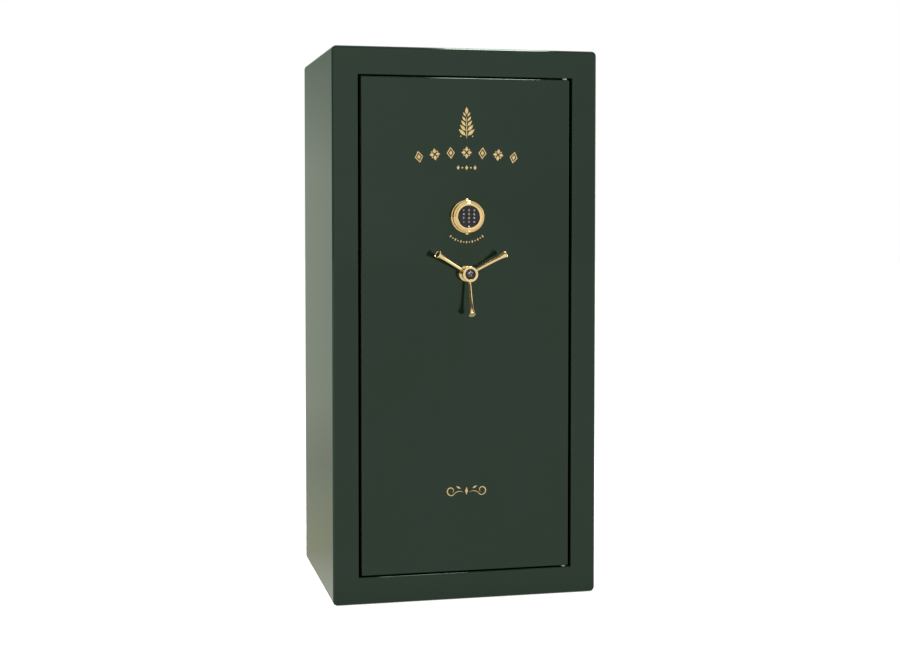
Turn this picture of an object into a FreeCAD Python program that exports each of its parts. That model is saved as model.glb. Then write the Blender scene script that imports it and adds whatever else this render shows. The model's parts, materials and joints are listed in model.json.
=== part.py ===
import FreeCAD, Part
import Sketcher
import math
import os
import re

# A steel gun safe on its base, in millimetres. The origin is the centre of the four anchor holes in
# the floor, on the underside. +Z is up, the door faces -Y and +X is on the right seen from the front.
# The door hangs on two concealed pivots at the right. It is modelled closed, with its bolts withdrawn.

SIZES = [
    ("safe_width", 753, "outside width of the body"),
    ("safe_height", 1537, "outside height of the body"),
    ("safe_depth", 590, "outside depth of the body, without the handle"),
    ("shell_wall", 2.7, "12 gauge body steel"),
    ("corner_round", 13, "outside radius of the long corners of the body"),
    ("edge_round", 7, "outside radius round the front and back of the body"),
    ("frame_plate", 4, "thickness of the door frame"),
    ("frame_lip", 30, "depth of the frame's outer lip"),
    ("back_lip", 20, "depth of the lip round the back plate"),
    ("jamb_depth", 45, "depth of the frame's return behind the door opening"),
    ("side_border", 72, "face of the frame beside the opening"),
    ("low_border", 75.5, "face of the frame below the opening"),
    ("high_border", 77.5, "face of the frame above the opening"),
    ("opening_round", 3, "round on the front edge of the opening"),
    ("side_gap", 7, "gap between door and frame at the sides"),
    ("end_gap", 4, "gap between door and frame at top and bottom"),
    ("seal_wide", 4, "how far the door seal stands out of the jamb"),
    ("seal_deep", 4, "depth of the door seal"),
    ("fire_board", 15.9, "thickness of the fireproof board"),
    ("liner_board", 6, "thickness of the carpeted lining boards"),
    ("liner_gap", 5, "gap between the jamb's return and the lining"),
    ("floor_mat", 8, "thickness of the carpeted floor mat"),
    ("anchor_x", 500, "anchor holes, spacing across"),
    ("anchor_y", 340, "anchor holes, spacing front to back"),
    ("anchor_radius", 7.5, "radius of an anchor hole"),
    ("divider_place", 60, "middle of the upright divider, right of the centre"),
    ("divider_board", 12, "thickness of the divider"),
    ("shelf_board", 16, "thickness of a shelf"),
    ("shelf_height", 1180, "underside of the top shelf above the floor"),
    ("shelf_setback", 35, "gap between the door's inside and a shelf"),
    ("shelf_slack", 1, "gap at each end of a shelf"),
    ("clip_leg", 14, "length of a shelf clip's legs"),
    ("clip_plate", 3, "thickness of a shelf clip"),
    ("clip_width", 30, "width of a shelf clip"),
    ("rest_height", 960, "underside of the barrel rest"),
    ("rest_board", 20, "thickness of the barrel rest"),
    ("rest_reach", 100, "how far the barrel rest comes forward"),
    ("notch_radius", 17, "radius of a barrel notch"),
    ("notch_pitch", 74, "spacing of the barrel notches"),
    ("door_plate_wall", 4.8, "thickness of the door's front plate"),
    ("door_return", 36, "depth of the bent edges of the door plate"),
    ("door_return_wall", 3, "thickness of those edges"),
    ("door_round", 4, "round on the front edges of the door plate"),
    ("door_board_gap", 0.5, "gap round the board in the door"),
    ("flange_inset", 1.5, "boltwork case, flange inside the door's edge"),
    ("chassis_inset", 4.5, "boltwork case, side inside the door's edge"),
    ("chassis_step", 4, "boltwork case, top and bottom inside the door's edge"),
    ("chassis_depth", 54, "depth of the boltwork case"),
    ("chassis_wall", 2, "thickness of the boltwork case"),
    ("trim_board", 6, "thickness of the carpeted panel that closes the door"),
    ("trim_inset", 0.5, "that panel inside the boltwork case's edge"),
    ("hinge_pin", 6, "radius of a hinge pin"),
    ("hinge_play", 0.05, "radial clearance of a hinge pin"),
    ("bush_wall", 2.45, "wall of a hinge bush"),
    ("bush_side_gap", 0.5, "gap between a hinge bush and the door's bent edge"),
    ("bush_front_gap", 0.7, "gap between a hinge bush and the door's front plate"),
    ("bush_length", 30, "length of a hinge bush"),
    ("hinge_block", 24, "height of a hinge block"),
    ("collar_radius", 9, "radius of the collar that spaces the door"),
    ("collar_play", 0.1, "clearance of that collar"),
    ("bolt_radius", 12.5, "radius of a locking bolt"),
    ("bolt_throw", 26, "travel of the locking bolts"),
    ("bolt_gap", 2, "gap between a bolt and the jamb's return"),
    ("bolt_play", 0.3, "radial clearance of a bolt in its hole"),
    ("bolt_proud", 1, "how far a withdrawn bolt shows"),
    ("bolt_chamfer", 1.5, "chamfer on the end of a bolt"),
    ("bolt_margin", 150, "door's end to the nearest side bolt"),
    ("end_bolt_reach", 140, "end bolts, either side of the middle"),
    ("bar_slack", 12, "gap between a thrown bar and the case"),
    ("bar_plate", 6, "thickness of a bolt bar"),
    ("arm_plate", 5, "thickness of a bar's arm"),
    ("arm_half", 15, "half the width of a side bar's arm"),
    ("arm_start", 24, "spindle's middle to the end of an arm"),
    ("link_near", 40, "top bar's link, near edge right of the middle"),
    ("link_far", 65, "top bar's link, far edge right of the middle"),
    ("handle_height", 913, "spindle above the floor"),
    ("handle_swing", 80, "turn of the handle that throws the bolts"),
    ("spindle_radius", 10, "radius of the spindle"),
    ("spindle_nose", 8, "radius of the spindle where the cam is welded on"),
    ("spindle_play", 0.05, "radial clearance of the spindle"),
    ("spindle_bush_radius", 16, "outside radius of the spindle's bush"),
    ("cam_radius", 75, "radius of the cam disc"),
    ("cam_plate", 5, "thickness of the cam disc"),
    ("cam_gap", 4, "gap between the case and the cam"),
    ("cam_pin", 5, "radius of the pins that run in the cam"),
    ("cam_pin_start", 35, "spindle's middle to a pin with the bolts withdrawn"),
    ("cam_play", 0.3, "clearance of a pin in its slot"),
    ("layer_gap", 1.5, "gap between the cam and the arms behind it"),
    ("rosette_radius", 22, "radius of the plate behind the handle"),
    ("rosette_proud", 6, "thickness of that plate"),
    ("rosette_play", 1, "gap round the spindle in that plate"),
    ("hub_radius", 22, "radius of the handle's hub at its front"),
    ("hub_waist", 17, "radius of the hub behind its front"),
    ("hub_proud", 48, "how far the hub stands out of the door"),
    ("hub_play", 0.4, "gap between the hub and the plate behind it"),
    ("hub_lip", 3, "how far the hub's foot stands out round its waist"),
    ("hub_foot", 4, "depth of the hub's foot"),
    ("hub_slope", 2, "length of the slope from the foot to the waist"),
    ("hub_edge", 2, "chamfer round the hub's front"),
    ("flare_high", 7, "from the hub's front to the full end of its flare"),
    ("flare_low", 11, "from the hub's front to the start of its flare"),
    ("socket_floor", 14, "from the hub's front to the end of the spindle's socket"),
    ("cap_seat", 3, "depth of the cap's seat in the hub"),
    ("cap_lead", 1.5, "chamfer at the mouth of the cap's seat"),
    ("cap_slope", 1.2, "depth of the slope round the cap's front"),
    ("cap_rim", 2.5, "width of that slope"),
    ("cap_radius", 14.5, "radius of the cap in the hub"),
    ("spoke_reach", 113, "spindle's middle to a spoke's end"),
    ("spoke_root_proud", 31, "spoke's root in front of the door"),
    ("spoke_tip_proud", 65, "spoke's end in front of the door"),
    ("spoke_neck", 4.6, "radius of a spoke at the hub"),
    ("spoke_end", 11.5, "radius of a spoke's flared end"),
    ("keypad_height", 1071.5, "middle of the keypad above the floor"),
    ("flange_lip", 3, "how far the keypad's base stands out round its bezel"),
    ("flange_proud", 8, "thickness of the keypad's base"),
    ("bezel_radius", 44.5, "outside radius of the keypad's bezel"),
    ("bezel_wall", 5, "wall of the bezel and its base"),
    ("bezel_proud", 30, "how far the bezel stands out of the door"),
    ("face_radius", 30, "radius of the keypad's black face"),
    ("face_plate", 3, "thickness of the keypad's face"),
    ("face_recess", 3, "how far the face sits behind the bezel's front"),
    ("bezel_edge", 2, "chamfer on each side of the bezel's rim and its groove"),
    ("bezel_step", 0.5, "how far the bezel's skirt is stepped in from its rim"),
    ("groove_front", 6, "from the bezel's front to the groove round it"),
    ("groove_long", 8, "length of that groove with its slopes"),
    ("groove_deep", 3, "depth of that groove"),
    ("ring_slope", 3, "width of the slope from the bezel's front to the face"),
    ("ring_lip", 0.5, "flat between that slope and the face"),
    ("tab_wide", 8, "width of the tabs on the keypad's base"),
    ("tab_reach", 2.5, "how far a tab reaches each side of the base's edge"),
    ("key_corner", 1.6, "corner radius of a key"),
    ("key_edge", 0.5, "round of a key's front edge"),
    ("key_gap", 0.1, "gap between a key's flange and the face"),
    ("key_wide", 10.4, "width of a key"),
    ("key_tall", 7.2, "height of a key"),
    ("key_pitch_x", 15, "keys, spacing across"),
    ("key_pitch_z", 10.8, "keys, spacing up and down"),
    ("key_rise", 1.4, "the keys' middle above the face's middle"),
    ("key_play", 0.3, "gap round a key"),
    ("key_proud", 1.2, "how far a key stands out of the face"),
    ("key_travel", 1, "travel of a key"),
    ("key_flange", 0.8, "thickness and overhang of a key's flange"),
    ("battery_long", 48.5, "length of the nine-volt battery"),
    ("battery_high", 26.5, "width of the battery"),
    ("battery_deep", 17.5, "thickness of the battery"),
    ("battery_drop", 4, "battery below the keypad's middle"),
    ("board_thick", 1.6, "thickness of the keypad's circuit board"),
    ("lamp_radius", 1.6, "radius of the lamp"),
    ("lamp_inset", 3, "lamp's middle inside the face's edge"),
    ("cable_radius", 2.5, "radius of the keypad's cable"),
    ("cable_hole", 6, "radius of the cable's hole through the door"),
    ("lock_half", 30, "half the width of the lock case"),
    ("lock_below", 47.5, "lock case below the keypad's middle"),
    ("lock_above", 38.5, "lock case above the keypad's middle"),
    ("lock_depth", 28, "depth of the lock case"),
    ("lock_wall", 3, "wall of the lock case"),
    ("lock_lid", 2, "thickness of the lock case's cover"),
    ("swing_pin", 4, "radius of the pin that the swing bolt turns on"),
    ("swing_reach", 30, "length of the swing bolt between its centres"),
    ("swing_half", 7, "half the width of the swing bolt"),
    ("swing_plate", 14, "thickness of the swing bolt"),
    ("swing_left", 14, "swing bolt's pin left of the middle"),
    ("swing_drop", 12, "swing bolt's pin below the top of the case"),
    ("finger_gap", 0.6, "gap between the top bar's finger and the lock"),
    ("finger_high", 10, "height of that finger"),
]

# Places that follow from the sizes. Depths are Y, from the front at -Y to the back.
PLACES = [
    ("half_width", "safe_width / 2"),
    ("front", "0 - safe_depth / 2"),
    ("back", "safe_depth / 2"),
    ("open_x", "half_width - side_border"),
    ("open_low", "low_border"),
    ("open_high", "safe_height - high_border"),
    ("jamb_back", "front + jamb_depth"),
    ("board_x", "half_width - shell_wall"),
    ("liner_x", "board_x - fire_board"),
    ("room_x", "liner_x - liner_board"),
    ("room_front", "jamb_back + liner_gap"),
    ("board_back", "back - shell_wall"),
    ("liner_back", "board_back - fire_board"),
    ("room_back", "liner_back - liner_board"),
    ("mat_low", "shell_wall + fire_board"),
    ("room_low", "mat_low + floor_mat"),
    ("liner_high", "safe_height - shell_wall - fire_board"),
    ("room_high", "liner_high - liner_board"),
    ("door_x", "open_x - side_gap"),
    ("door_low", "open_low + end_gap"),
    ("door_high", "open_high - end_gap"),
    ("chassis_x", "door_x - chassis_inset"),
    ("chassis_low", "door_low + chassis_step"),
    ("chassis_high", "door_high - chassis_step"),
    ("chassis_front", "front + door_return"),
    ("chassis_back", "chassis_front + chassis_depth"),
    ("trim_back", "chassis_back + trim_board"),
    ("shelf_front", "trim_back + shelf_setback"),
    ("bush_radius", "hinge_pin + hinge_play + bush_wall"),
    ("pivot_x", "door_x - door_return_wall - bush_side_gap - bush_radius"),
    ("pivot_y", "front + door_plate_wall + bush_front_gap + bush_radius"),
    ("bolt_y", "jamb_back + bolt_gap + bolt_radius"),
    ("bar_x", "chassis_x - chassis_wall - bolt_throw - bar_slack"),
    ("bar_high", "chassis_high - chassis_wall - bolt_throw - bar_slack"),
    ("bar_low", "chassis_low + chassis_wall + bolt_throw + bar_slack"),
    ("cam_front", "chassis_front + chassis_wall + cam_gap"),
    ("cam_back", "cam_front + cam_plate"),
    ("arm_front", "cam_back + layer_gap"),
    ("bar_back", "bolt_y + bolt_radius + chassis_wall"),
    ("lock_low", "keypad_height - lock_below"),
    ("lock_high", "keypad_height + lock_above"),
    ("lock_front", "chassis_front + chassis_wall"),
    ("lock_back", "lock_front + lock_depth"),
    ("keypad_flange", "bezel_radius + flange_lip"),
    ("face_front", "front - bezel_proud + face_recess"),
    ("face_back", "face_front + face_plate"),
    ("divider_left", "divider_place - divider_board / 2"),
    ("divider_right", "divider_place + divider_board / 2"),
]

SIZE_NAMES = [name for name, number, note in SIZES]
PLACE_NAMES = [name for name, formula in PLACES]

doc = FreeCAD.newDocument("GunSafe")


def named(formula):
    """The formula with each word given the object that holds it."""
    def owner(match):
        word = match.group()
        if word in SIZE_NAMES:
            return "Sizes." + word
        if word in PLACE_NAMES:
            return "Places." + word
        return word
    return re.sub(r"[a-z_]+", owner, str(formula))


sheet = doc.addObject("Spreadsheet::Sheet", "Sizes")
for row, (name, number, note) in enumerate(SIZES, 1):
    sheet.set("A%d" % row, note)
    sheet.set("B%d" % row, str(number))
    sheet.setAlias("B%d" % row, name)
doc.recompute()

places = doc.addObject("App::VarSet", "Places")
for name, formula in PLACES:
    places.addProperty("App::PropertyFloat", name, "Places")
    places.setExpression(name, named(formula))
doc.recompute()


def size(formula):
    """The number that a formula of sizes and places comes to."""
    return float(sheet.evalExpression(named(formula)))


# ---------------------------------------------------------------------------- sketches and features

def new_body(label):
    body = doc.addObject("PartDesign::Body", label)
    body.AllowCompound = True
    return body


def sketch(body, plane, level="0", shift_x="0", shift_y="0"):
    """An empty sketch on one of the body's own planes, moved along its normal by level."""
    item = body.newObject("Sketcher::SketchObject", "Sketch")
    support = [each for each in body.Origin.OriginFeatures if each.Role == plane + "_Plane"]
    item.AttachmentSupport = [(support[0], "")]
    item.MapMode = "FlatFace"
    for axis, formula in (("x", shift_x), ("y", shift_y), ("z", level)):
        item.setExpression("AttachmentOffset.Base." + axis, named(formula))
    return item


def facing(body, depth, centre_x="0", centre_z="0"):
    """A sketch that faces the front at a given depth. Its normal points to the front."""
    return sketch(body, "XZ", "0 - (%s)" % depth, centre_x, centre_z)


def hold(item, kind, geometry, point, formula):
    """Ties one sketch dimension to a formula."""
    if kind == "Radius":
        constraint = Sketcher.Constraint(kind, geometry, size(formula))
    else:
        constraint = Sketcher.Constraint(kind, -1, 1, geometry, point, size(formula))
    number = item.addConstraint(constraint)
    item.setExpression("Constraints[%d]" % number, named(formula))


def outline(item, corners):
    """A closed outline with straight sides, each corner held by its place."""
    first = item.GeometryCount
    count = len(corners)
    spots = [FreeCAD.Vector(size(across), size(up), 0) for across, up in corners]
    for index in range(count):
        item.addGeometry(Part.LineSegment(spots[index], spots[(index + 1) % count]), False)
    for index, (across, up) in enumerate(corners):
        following = (index + 1) % count
        item.addConstraint(Sketcher.Constraint("Coincident", first + index, 2, first + following, 1))
        hold(item, "DistanceX", first + index, 1, across)
        hold(item, "DistanceY", first + index, 1, up)


def rectangle(item, left, right, low, high):
    outline(item, [(left, low), (right, low), (right, high), (left, high)])


def rounded_rectangle(item, left, right, low, high, radius):
    """A rectangle whose corners are arcs."""
    first = item.GeometryCount
    corners = [
        ("%s + %s" % (left, radius), low), ("%s - %s" % (right, radius), low),
        (right, "%s + %s" % (low, radius)), (right, "%s - %s" % (high, radius)),
        ("%s - %s" % (right, radius), high), ("%s + %s" % (left, radius), high),
        (left, "%s - %s" % (high, radius)), (left, "%s + %s" % (low, radius)),
    ]
    spots = [FreeCAD.Vector(size(across), size(up), 0) for across, up in corners]
    for index in range(0, 8, 2):
        item.addGeometry(Part.LineSegment(spots[index], spots[index + 1]), False)
    for index in range(0, 8, 2):
        start = spots[index + 1]
        end = spots[(index + 2) % 8]
        centre = FreeCAD.Vector(start.x if index % 4 == 0 else end.x, end.y if index % 4 == 0 else start.y, 0)
        middle = centre + ((start - centre) + (end - centre)) / math.sqrt(2)
        item.addGeometry(Part.Arc(start, middle, end), False)
    for side in range(4):
        arc = first + 4 + side
        hold(item, "DistanceX", first + side, 1, corners[2 * side][0])
        hold(item, "DistanceY", first + side, 1, corners[2 * side][1])
        hold(item, "DistanceX", first + side, 2, corners[2 * side + 1][0])
        hold(item, "DistanceY", first + side, 2, corners[2 * side + 1][1])
        item.addConstraint(Sketcher.Constraint("Coincident", first + side, 2, arc, 1))
        item.addConstraint(Sketcher.Constraint("Coincident", first + (side + 1) % 4, 1, arc, 2))
        hold(item, "Radius", arc, 0, radius)


def circle(item, across, up, radius):
    geometry = item.GeometryCount
    spot = FreeCAD.Vector(size(across), size(up), 0)
    item.addGeometry(Part.Circle(spot, FreeCAD.Vector(0, 0, 1), size(radius)), False)
    hold(item, "DistanceX", geometry, 3, across)
    hold(item, "DistanceY", geometry, 3, up)
    hold(item, "Radius", geometry, 3, radius)


def pad(body, item, length, reverse=True):
    """Fills a sketch. On a facing sketch the solid grows towards the back."""
    feature = body.newObject("PartDesign::Pad", "Pad")
    feature.Profile = item
    feature.setExpression("Length", named(length))
    feature.Reversed = reverse
    doc.recompute()
    return feature


def pocket(body, item, length=None, reverse=False, both_ways=False):
    """Cuts a sketch out, right through when no length is given, and checks that it cut."""
    before = body.Shape.Volume
    feature = body.newObject("PartDesign::Pocket", "Pocket")
    feature.Profile = item
    if length is None:
        feature.Type = 1
    else:
        feature.setExpression("Length", named(length))
    feature.Reversed = reverse
    feature.Midplane = both_ways
    doc.recompute()
    if not body.Shape.Volume < before - 0.001:
        raise RuntimeError("%s: a pocket cut nothing" % body.Label)
    return feature


def revolve(body, item):
    """Turns a sketch round its own horizontal axis."""
    feature = body.newObject("PartDesign::Revolution", "Revolution")
    feature.Profile = item
    feature.ReferenceAxis = (item, ["H_Axis"])
    feature.Angle = 360
    doc.recompute()
    return feature


def edges_where(body, test):
    chosen = [number for number, edge in enumerate(body.Shape.Edges, 1) if test(edge)]
    if not chosen:
        raise RuntimeError("%s: no such edge" % body.Label)
    return ["Edge%d" % number for number in chosen]


def soften(body, kind, amount, test):
    """A Fillet or Chamfer on the edges that pass the test."""
    base = body.Tip
    names = edges_where(body, test)
    feature = body.newObject("PartDesign::" + kind, kind)
    feature.Base = (base, names)
    feature.setExpression("Radius" if kind == "Fillet" else "Size", named(amount))
    doc.recompute()
    return feature


def runs(edge, axis):
    """True for a straight edge along an axis."""
    if len(edge.Vertexes) != 2:
        return False
    step = edge.Vertexes[1].Point - edge.Vertexes[0].Point
    return abs(abs(getattr(step, axis)) - edge.Length) < 0.001


def spans(edge, axis, place):
    """True for an edge that lies wholly in the plane where axis equals place."""
    box_of_edge = edge.BoundBox
    low = getattr(box_of_edge, axis.upper() + "Min")
    high = getattr(box_of_edge, axis.upper() + "Max")
    return abs(low - size(place)) < 0.01 and abs(high - size(place)) < 0.01


# ------------------------------------------------------------------------------ boxes and cylinders

def box(name, across, deep, up):
    """A block between two places each way."""
    item = doc.addObject("Part::Box", name)
    for side, axis, (low, high) in (("Length", "x", across), ("Width", "y", deep), ("Height", "z", up)):
        item.setExpression(side, named("(%s) - (%s)" % (high, low)))
        item.setExpression("Placement.Base." + axis, named(low))
    return item


TURNS = {
    "x": FreeCAD.Rotation(FreeCAD.Vector(0, 1, 0), 90),
    "y": FreeCAD.Rotation(FreeCAD.Vector(1, 0, 0), -90),
    "z": FreeCAD.Rotation(),
}


def cylinder(name, axis, radius, low, high, **centre):
    """A cylinder along an axis from low to high. The other two coordinates are named."""
    item = doc.addObject("Part::Cylinder", name)
    item.Placement = FreeCAD.Placement(FreeCAD.Vector(), TURNS[axis])
    item.setExpression("Radius", named(radius))
    item.setExpression("Height", named("(%s) - (%s)" % (high, low)))
    centre[axis] = low
    for letter, formula in centre.items():
        item.setExpression("Placement.Base." + letter, named(formula))
    return item


def join(name, pieces):
    item = doc.addObject("Part::MultiFuse", name)
    item.Shapes = pieces
    return item


def cut(name, base, tools):
    item = doc.addObject("Part::Cut", name)
    item.Base = base
    item.Tool = tools[0] if len(tools) == 1 else join(name + "_tools", tools)
    return item


def group(name, pieces):
    """Like pieces kept as separate solids of one node."""
    item = doc.addObject("Part::Compound", name)
    item.Links = pieces
    return item


NODES = []


def node(item, label):
    """Marks an object as a sub-part. Its label names its file."""
    item.Label = label
    NODES.append(item)
    return item


# ------------------------------------------------------------------------------------------ cabinet

def body_shell():
    """Sides, roof and floor bent from one sheet, with the anchor holes in the floor."""
    body = new_body("body_shell")
    start = "front + frame_lip"
    length = "safe_depth - frame_lip - back_lip"
    outer = facing(body, start)
    rectangle(outer, "0 - half_width", "half_width", "0", "safe_height")
    pad(body, outer, length)
    soften(body, "Fillet", "corner_round", lambda edge: runs(edge, "y"))
    inner = facing(body, start)
    inside_of_wall(inner)
    pocket(body, inner, length)
    holes = sketch(body, "XY")
    for across, deep in anchor_places():
        circle(holes, across, deep, "anchor_radius")
    pocket(body, holes, "shell_wall", reverse=True)
    return body


def anchor_places():
    return [("%d * anchor_x / 2" % side, "%d * anchor_y / 2" % end) for side in (-1, 1) for end in (-1, 1)]


def inside_of_wall(item):
    """The inner outline of the body's wall, with the same corner centres as the outside."""
    rounded_rectangle(item, "0 - board_x", "board_x", "shell_wall", "safe_height - shell_wall",
                      "(corner_round - shell_wall)")


def edge_tray(label, face, lip, reverse):
    """A sheet with its rim bent back and rounded: the front frame and the back plate begin so."""
    body = new_body(label)
    outer = facing(body, face)
    rectangle(outer, "0 - half_width", "half_width", "0", "safe_height")
    pad(body, outer, lip, reverse)
    soften(body, "Fillet", "corner_round", lambda edge: runs(edge, "y"))
    soften(body, "Fillet", "edge_round", lambda edge: spans(edge, "y", face))
    return body


def front_frame():
    """The welded frame round the door: a face, an outer lip and a deep return at the opening."""
    body = edge_tray("front_frame", "front", "jamb_depth", True)
    opening = facing(body, "front")
    rectangle(opening, "0 - open_x", "open_x", "open_low", "open_high")
    pocket(body, opening)
    rim = facing(body, "jamb_back")
    rectangle(rim, "0 - half_width - 1", "half_width + 1", "0 - 1", "safe_height + 1")
    rectangle(rim, "0 - open_x - frame_plate", "open_x + frame_plate",
              "open_low - frame_plate", "open_high + frame_plate")
    pocket(body, rim, "jamb_depth - frame_lip", reverse=True)
    channel = facing(body, "front + frame_lip")
    inside_of_wall(channel)
    rectangle(channel, "0 - open_x - frame_plate", "open_x + frame_plate",
              "open_low - frame_plate", "open_high + frame_plate")
    pocket(body, channel, "frame_lip - frame_plate", reverse=True)
    soften(body, "Fillet", "opening_round",
           lambda edge: spans(edge, "y", "front") and abs(edge.CenterOfMass.x) < size("open_x") + 0.1
           and size("open_low") - 0.1 < edge.CenterOfMass.z < size("open_high") + 0.1)
    pins = sketch(body, "XY", "open_low - frame_plate")
    circle(pins, "pivot_x", "pivot_y", "hinge_pin")
    pocket(body, pins, "open_high - open_low + 2 * frame_plate", reverse=True)
    return body


def back_plate():
    body = edge_tray("back_plate", "back", "back_lip", False)
    inner = facing(body, "back - back_lip")
    inside_of_wall(inner)
    pocket(body, inner, "back_lip - shell_wall")
    return body


def anchor_cutters(name):
    return [cylinder("%s_hole_%d" % (name, number), "z", "anchor_radius", "0", "room_low + 1",
                     x=across, y=deep)
            for number, (across, deep) in enumerate(anchor_places())]


def both_sides(name, near, far, deep, up):
    left = box(name + "_left", ("0 - (%s)" % far, "0 - (%s)" % near), deep, up)
    right = box(name + "_right", (near, far), deep, up)
    return group(name, [left, right])


def linings():
    """Fireproof boards against the steel, and carpeted boards over them."""
    deep = ("room_front", "board_back")
    within = ("0 - liner_x", "liner_x")
    node(both_sides("SideFireboards", "liner_x", "board_x", deep,
                    ("corner_round", "safe_height - corner_round")), "side_fireboards")
    node(box("TopFireboard", within, deep, ("liner_high", "safe_height - shell_wall")), "top_fireboard")
    node(box("BackFireboard", within, ("liner_back", "board_back"), ("mat_low", "liner_high")),
         "back_fireboard")
    floor = box("FloorBoardBlank", within, deep, ("shell_wall", "mat_low"))
    node(cut("FloorFireboard", floor, anchor_cutters("board")), "floor_fireboard")
    shallow = ("room_front", "liner_back")
    node(both_sides("SideLiners", "room_x", "liner_x", shallow, ("mat_low", "liner_high")), "side_liners")
    inside = ("0 - room_x", "room_x")
    node(box("BackLiner", inside, ("room_back", "liner_back"), ("mat_low", "liner_high")), "back_liner")
    node(box("TopLiner", inside, ("room_front", "room_back"), ("room_high", "liner_high")), "top_liner")
    mat = box("MatBlank", inside, ("room_front", "room_back"), ("mat_low", "room_low"))
    node(cut("FloorMat", mat, anchor_cutters("mat")), "floor_mat")


SIDE_SHELVES = 3


def shelf_level(number):
    return "room_low + %d * (shelf_height - room_low) / %d" % (number, SIDE_SHELVES + 1)


def clip(name, wall, side, deep, level):
    """An angle under a shelf. side is 1 where the wall is on the left of the shelf, -1 on the right."""
    def reach(length):
        ends = (wall, "(%s) + %d * %s" % (wall, side, length))
        return ends if side > 0 else ends[::-1]
    across = (deep, "(%s) + clip_width" % deep)
    ledge = box(name + "_ledge", reach("clip_leg"), across, ("(%s) - clip_plate" % level, level))
    leg = box(name + "_leg", reach("clip_plate"), across, ("(%s) - clip_leg" % level, level))
    return join(name, [ledge, leg])


def furniture():
    """Divider, shelves on clips, and the notched rest for long guns."""
    deep = ("shelf_front", "room_back")
    node(box("Divider", ("divider_left", "divider_right"), deep, ("room_low", "shelf_height")), "divider")
    node(box("TopShelf", ("0 - room_x + shelf_slack", "room_x - shelf_slack"), deep,
             ("shelf_height", "shelf_height + shelf_board")), "top_shelf")
    shelves = []
    clips = []
    walls = [("divider_right", 1, shelf_level(number)) for number in range(1, SIDE_SHELVES + 1)]
    walls += [("room_x", -1, shelf_level(number)) for number in range(1, SIDE_SHELVES + 1)]
    walls += [("0 - room_x", 1, "shelf_height"), ("room_x", -1, "shelf_height")]
    for number in range(1, SIDE_SHELVES + 1):
        low = shelf_level(number)
        shelves.append(box("SideShelf%d" % number, ("divider_right + shelf_slack", "room_x - shelf_slack"),
                           deep, (low, "(%s) + shelf_board" % low)))
    for number, (wall, side, level) in enumerate(walls):
        clips.append(clip("ClipFront%d" % number, wall, side, "shelf_front + 2 * clip_width", level))
        clips.append(clip("ClipBack%d" % number, wall, side, "room_back - 3 * clip_width", level))
    node(group("SideShelves", shelves), "side_shelves")
    node(group("ShelfClips", clips), "shelf_clips")


NOTCHES = 5


def barrel_rest():
    """A board across the long-gun bay, with a row of open notches in its front edge."""
    body = new_body("barrel_rest")
    blank = sketch(body, "XY", "rest_height")
    rectangle(blank, "0 - room_x", "divider_left", "room_back - rest_reach", "room_back")
    pad(body, blank, "rest_board", reverse=False)
    middle = "(divider_left - room_x) / 2"
    notch_y = "room_back - rest_reach + notch_radius"
    for number in range(NOTCHES):
        across = "%s + %d * notch_pitch" % (middle, number - NOTCHES // 2)
        hole = sketch(body, "XY", "rest_height")
        circle(hole, across, notch_y, "notch_radius")
        pocket(body, hole, "rest_board", reverse=True)
        mouth = sketch(body, "XY", "rest_height")
        rectangle(mouth, "%s - notch_radius" % across, "%s + notch_radius" % across,
                  "room_back - rest_reach - 1", notch_y)
        pocket(body, mouth, "rest_board", reverse=True)
    return body


def door_seal():
    """The strip on the jamb that the closed door sits against."""
    body = new_body("door_seal")
    strip = facing(body, "jamb_back - 0.5 - seal_deep")
    rectangle(strip, "0 - open_x", "open_x", "open_low", "open_high")
    rectangle(strip, "0 - open_x + seal_wide", "open_x - seal_wide",
              "open_low + seal_wide", "open_high - seal_wide")
    pad(body, strip, "seal_deep")
    return body


def hinge_pivots():
    """A block welded in the frame with its pin and collar, above the door and below it."""
    pivots = []
    for name, wall, way in (("Top", "open_high", -1), ("Bottom", "open_low", 1)):
        def along(near, far):
            ends = ("%s + %d * (%s)" % (wall, way, near), "%s + %d * (%s)" % (wall, way, far))
            return ends if way > 0 else ends[::-1]
        block = box(name + "Block", ("pivot_x - 2 * hinge_pin", "pivot_x + 2 * hinge_pin"),
                    ("front + frame_plate", "pivot_y + 2 * hinge_pin"),
                    along("0 - frame_plate - hinge_block", "0 - frame_plate"))
        pin = cylinder(name + "Pin", "z", "hinge_pin",
                       *along("0 - frame_plate - 1", "end_gap + bush_length - 2"), x="pivot_x", y="pivot_y")
        collar = cylinder(name + "Collar", "z", "collar_radius",
                          *along("0", "end_gap - collar_play"), x="pivot_x", y="pivot_y")
        pivots.append(join(name + "Pivot", [block, pin, collar]))
    return group("HingePivots", pivots)


# --------------------------------------------------------------------------------------------- door

def door_plate():
    """The front plate with its edges bent back."""
    body = new_body("door_plate")
    outer = facing(body, "front")
    rectangle(outer, "0 - door_x", "door_x", "door_low", "door_high")
    pad(body, outer, "door_return")
    soften(body, "Fillet", "door_round", lambda edge: runs(edge, "y") or spans(edge, "y", "front"))
    inner = facing(body, "front + door_return")
    rectangle(inner, "0 - door_x + door_return_wall", "door_x - door_return_wall",
              "door_low + door_return_wall", "door_high - door_return_wall")
    pocket(body, inner, "door_return - door_plate_wall", reverse=True)
    holes = facing(body, "front")
    circle(holes, "0", "handle_height", "spindle_bush_radius")
    circle(holes, "0", "keypad_height", "cable_hole")
    pocket(body, holes, "door_plate_wall")
    bushes = sketch(body, "XY")
    circle(bushes, "pivot_x", "pivot_y", "bush_radius")
    pocket(body, bushes, reverse=True)
    return body


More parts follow.
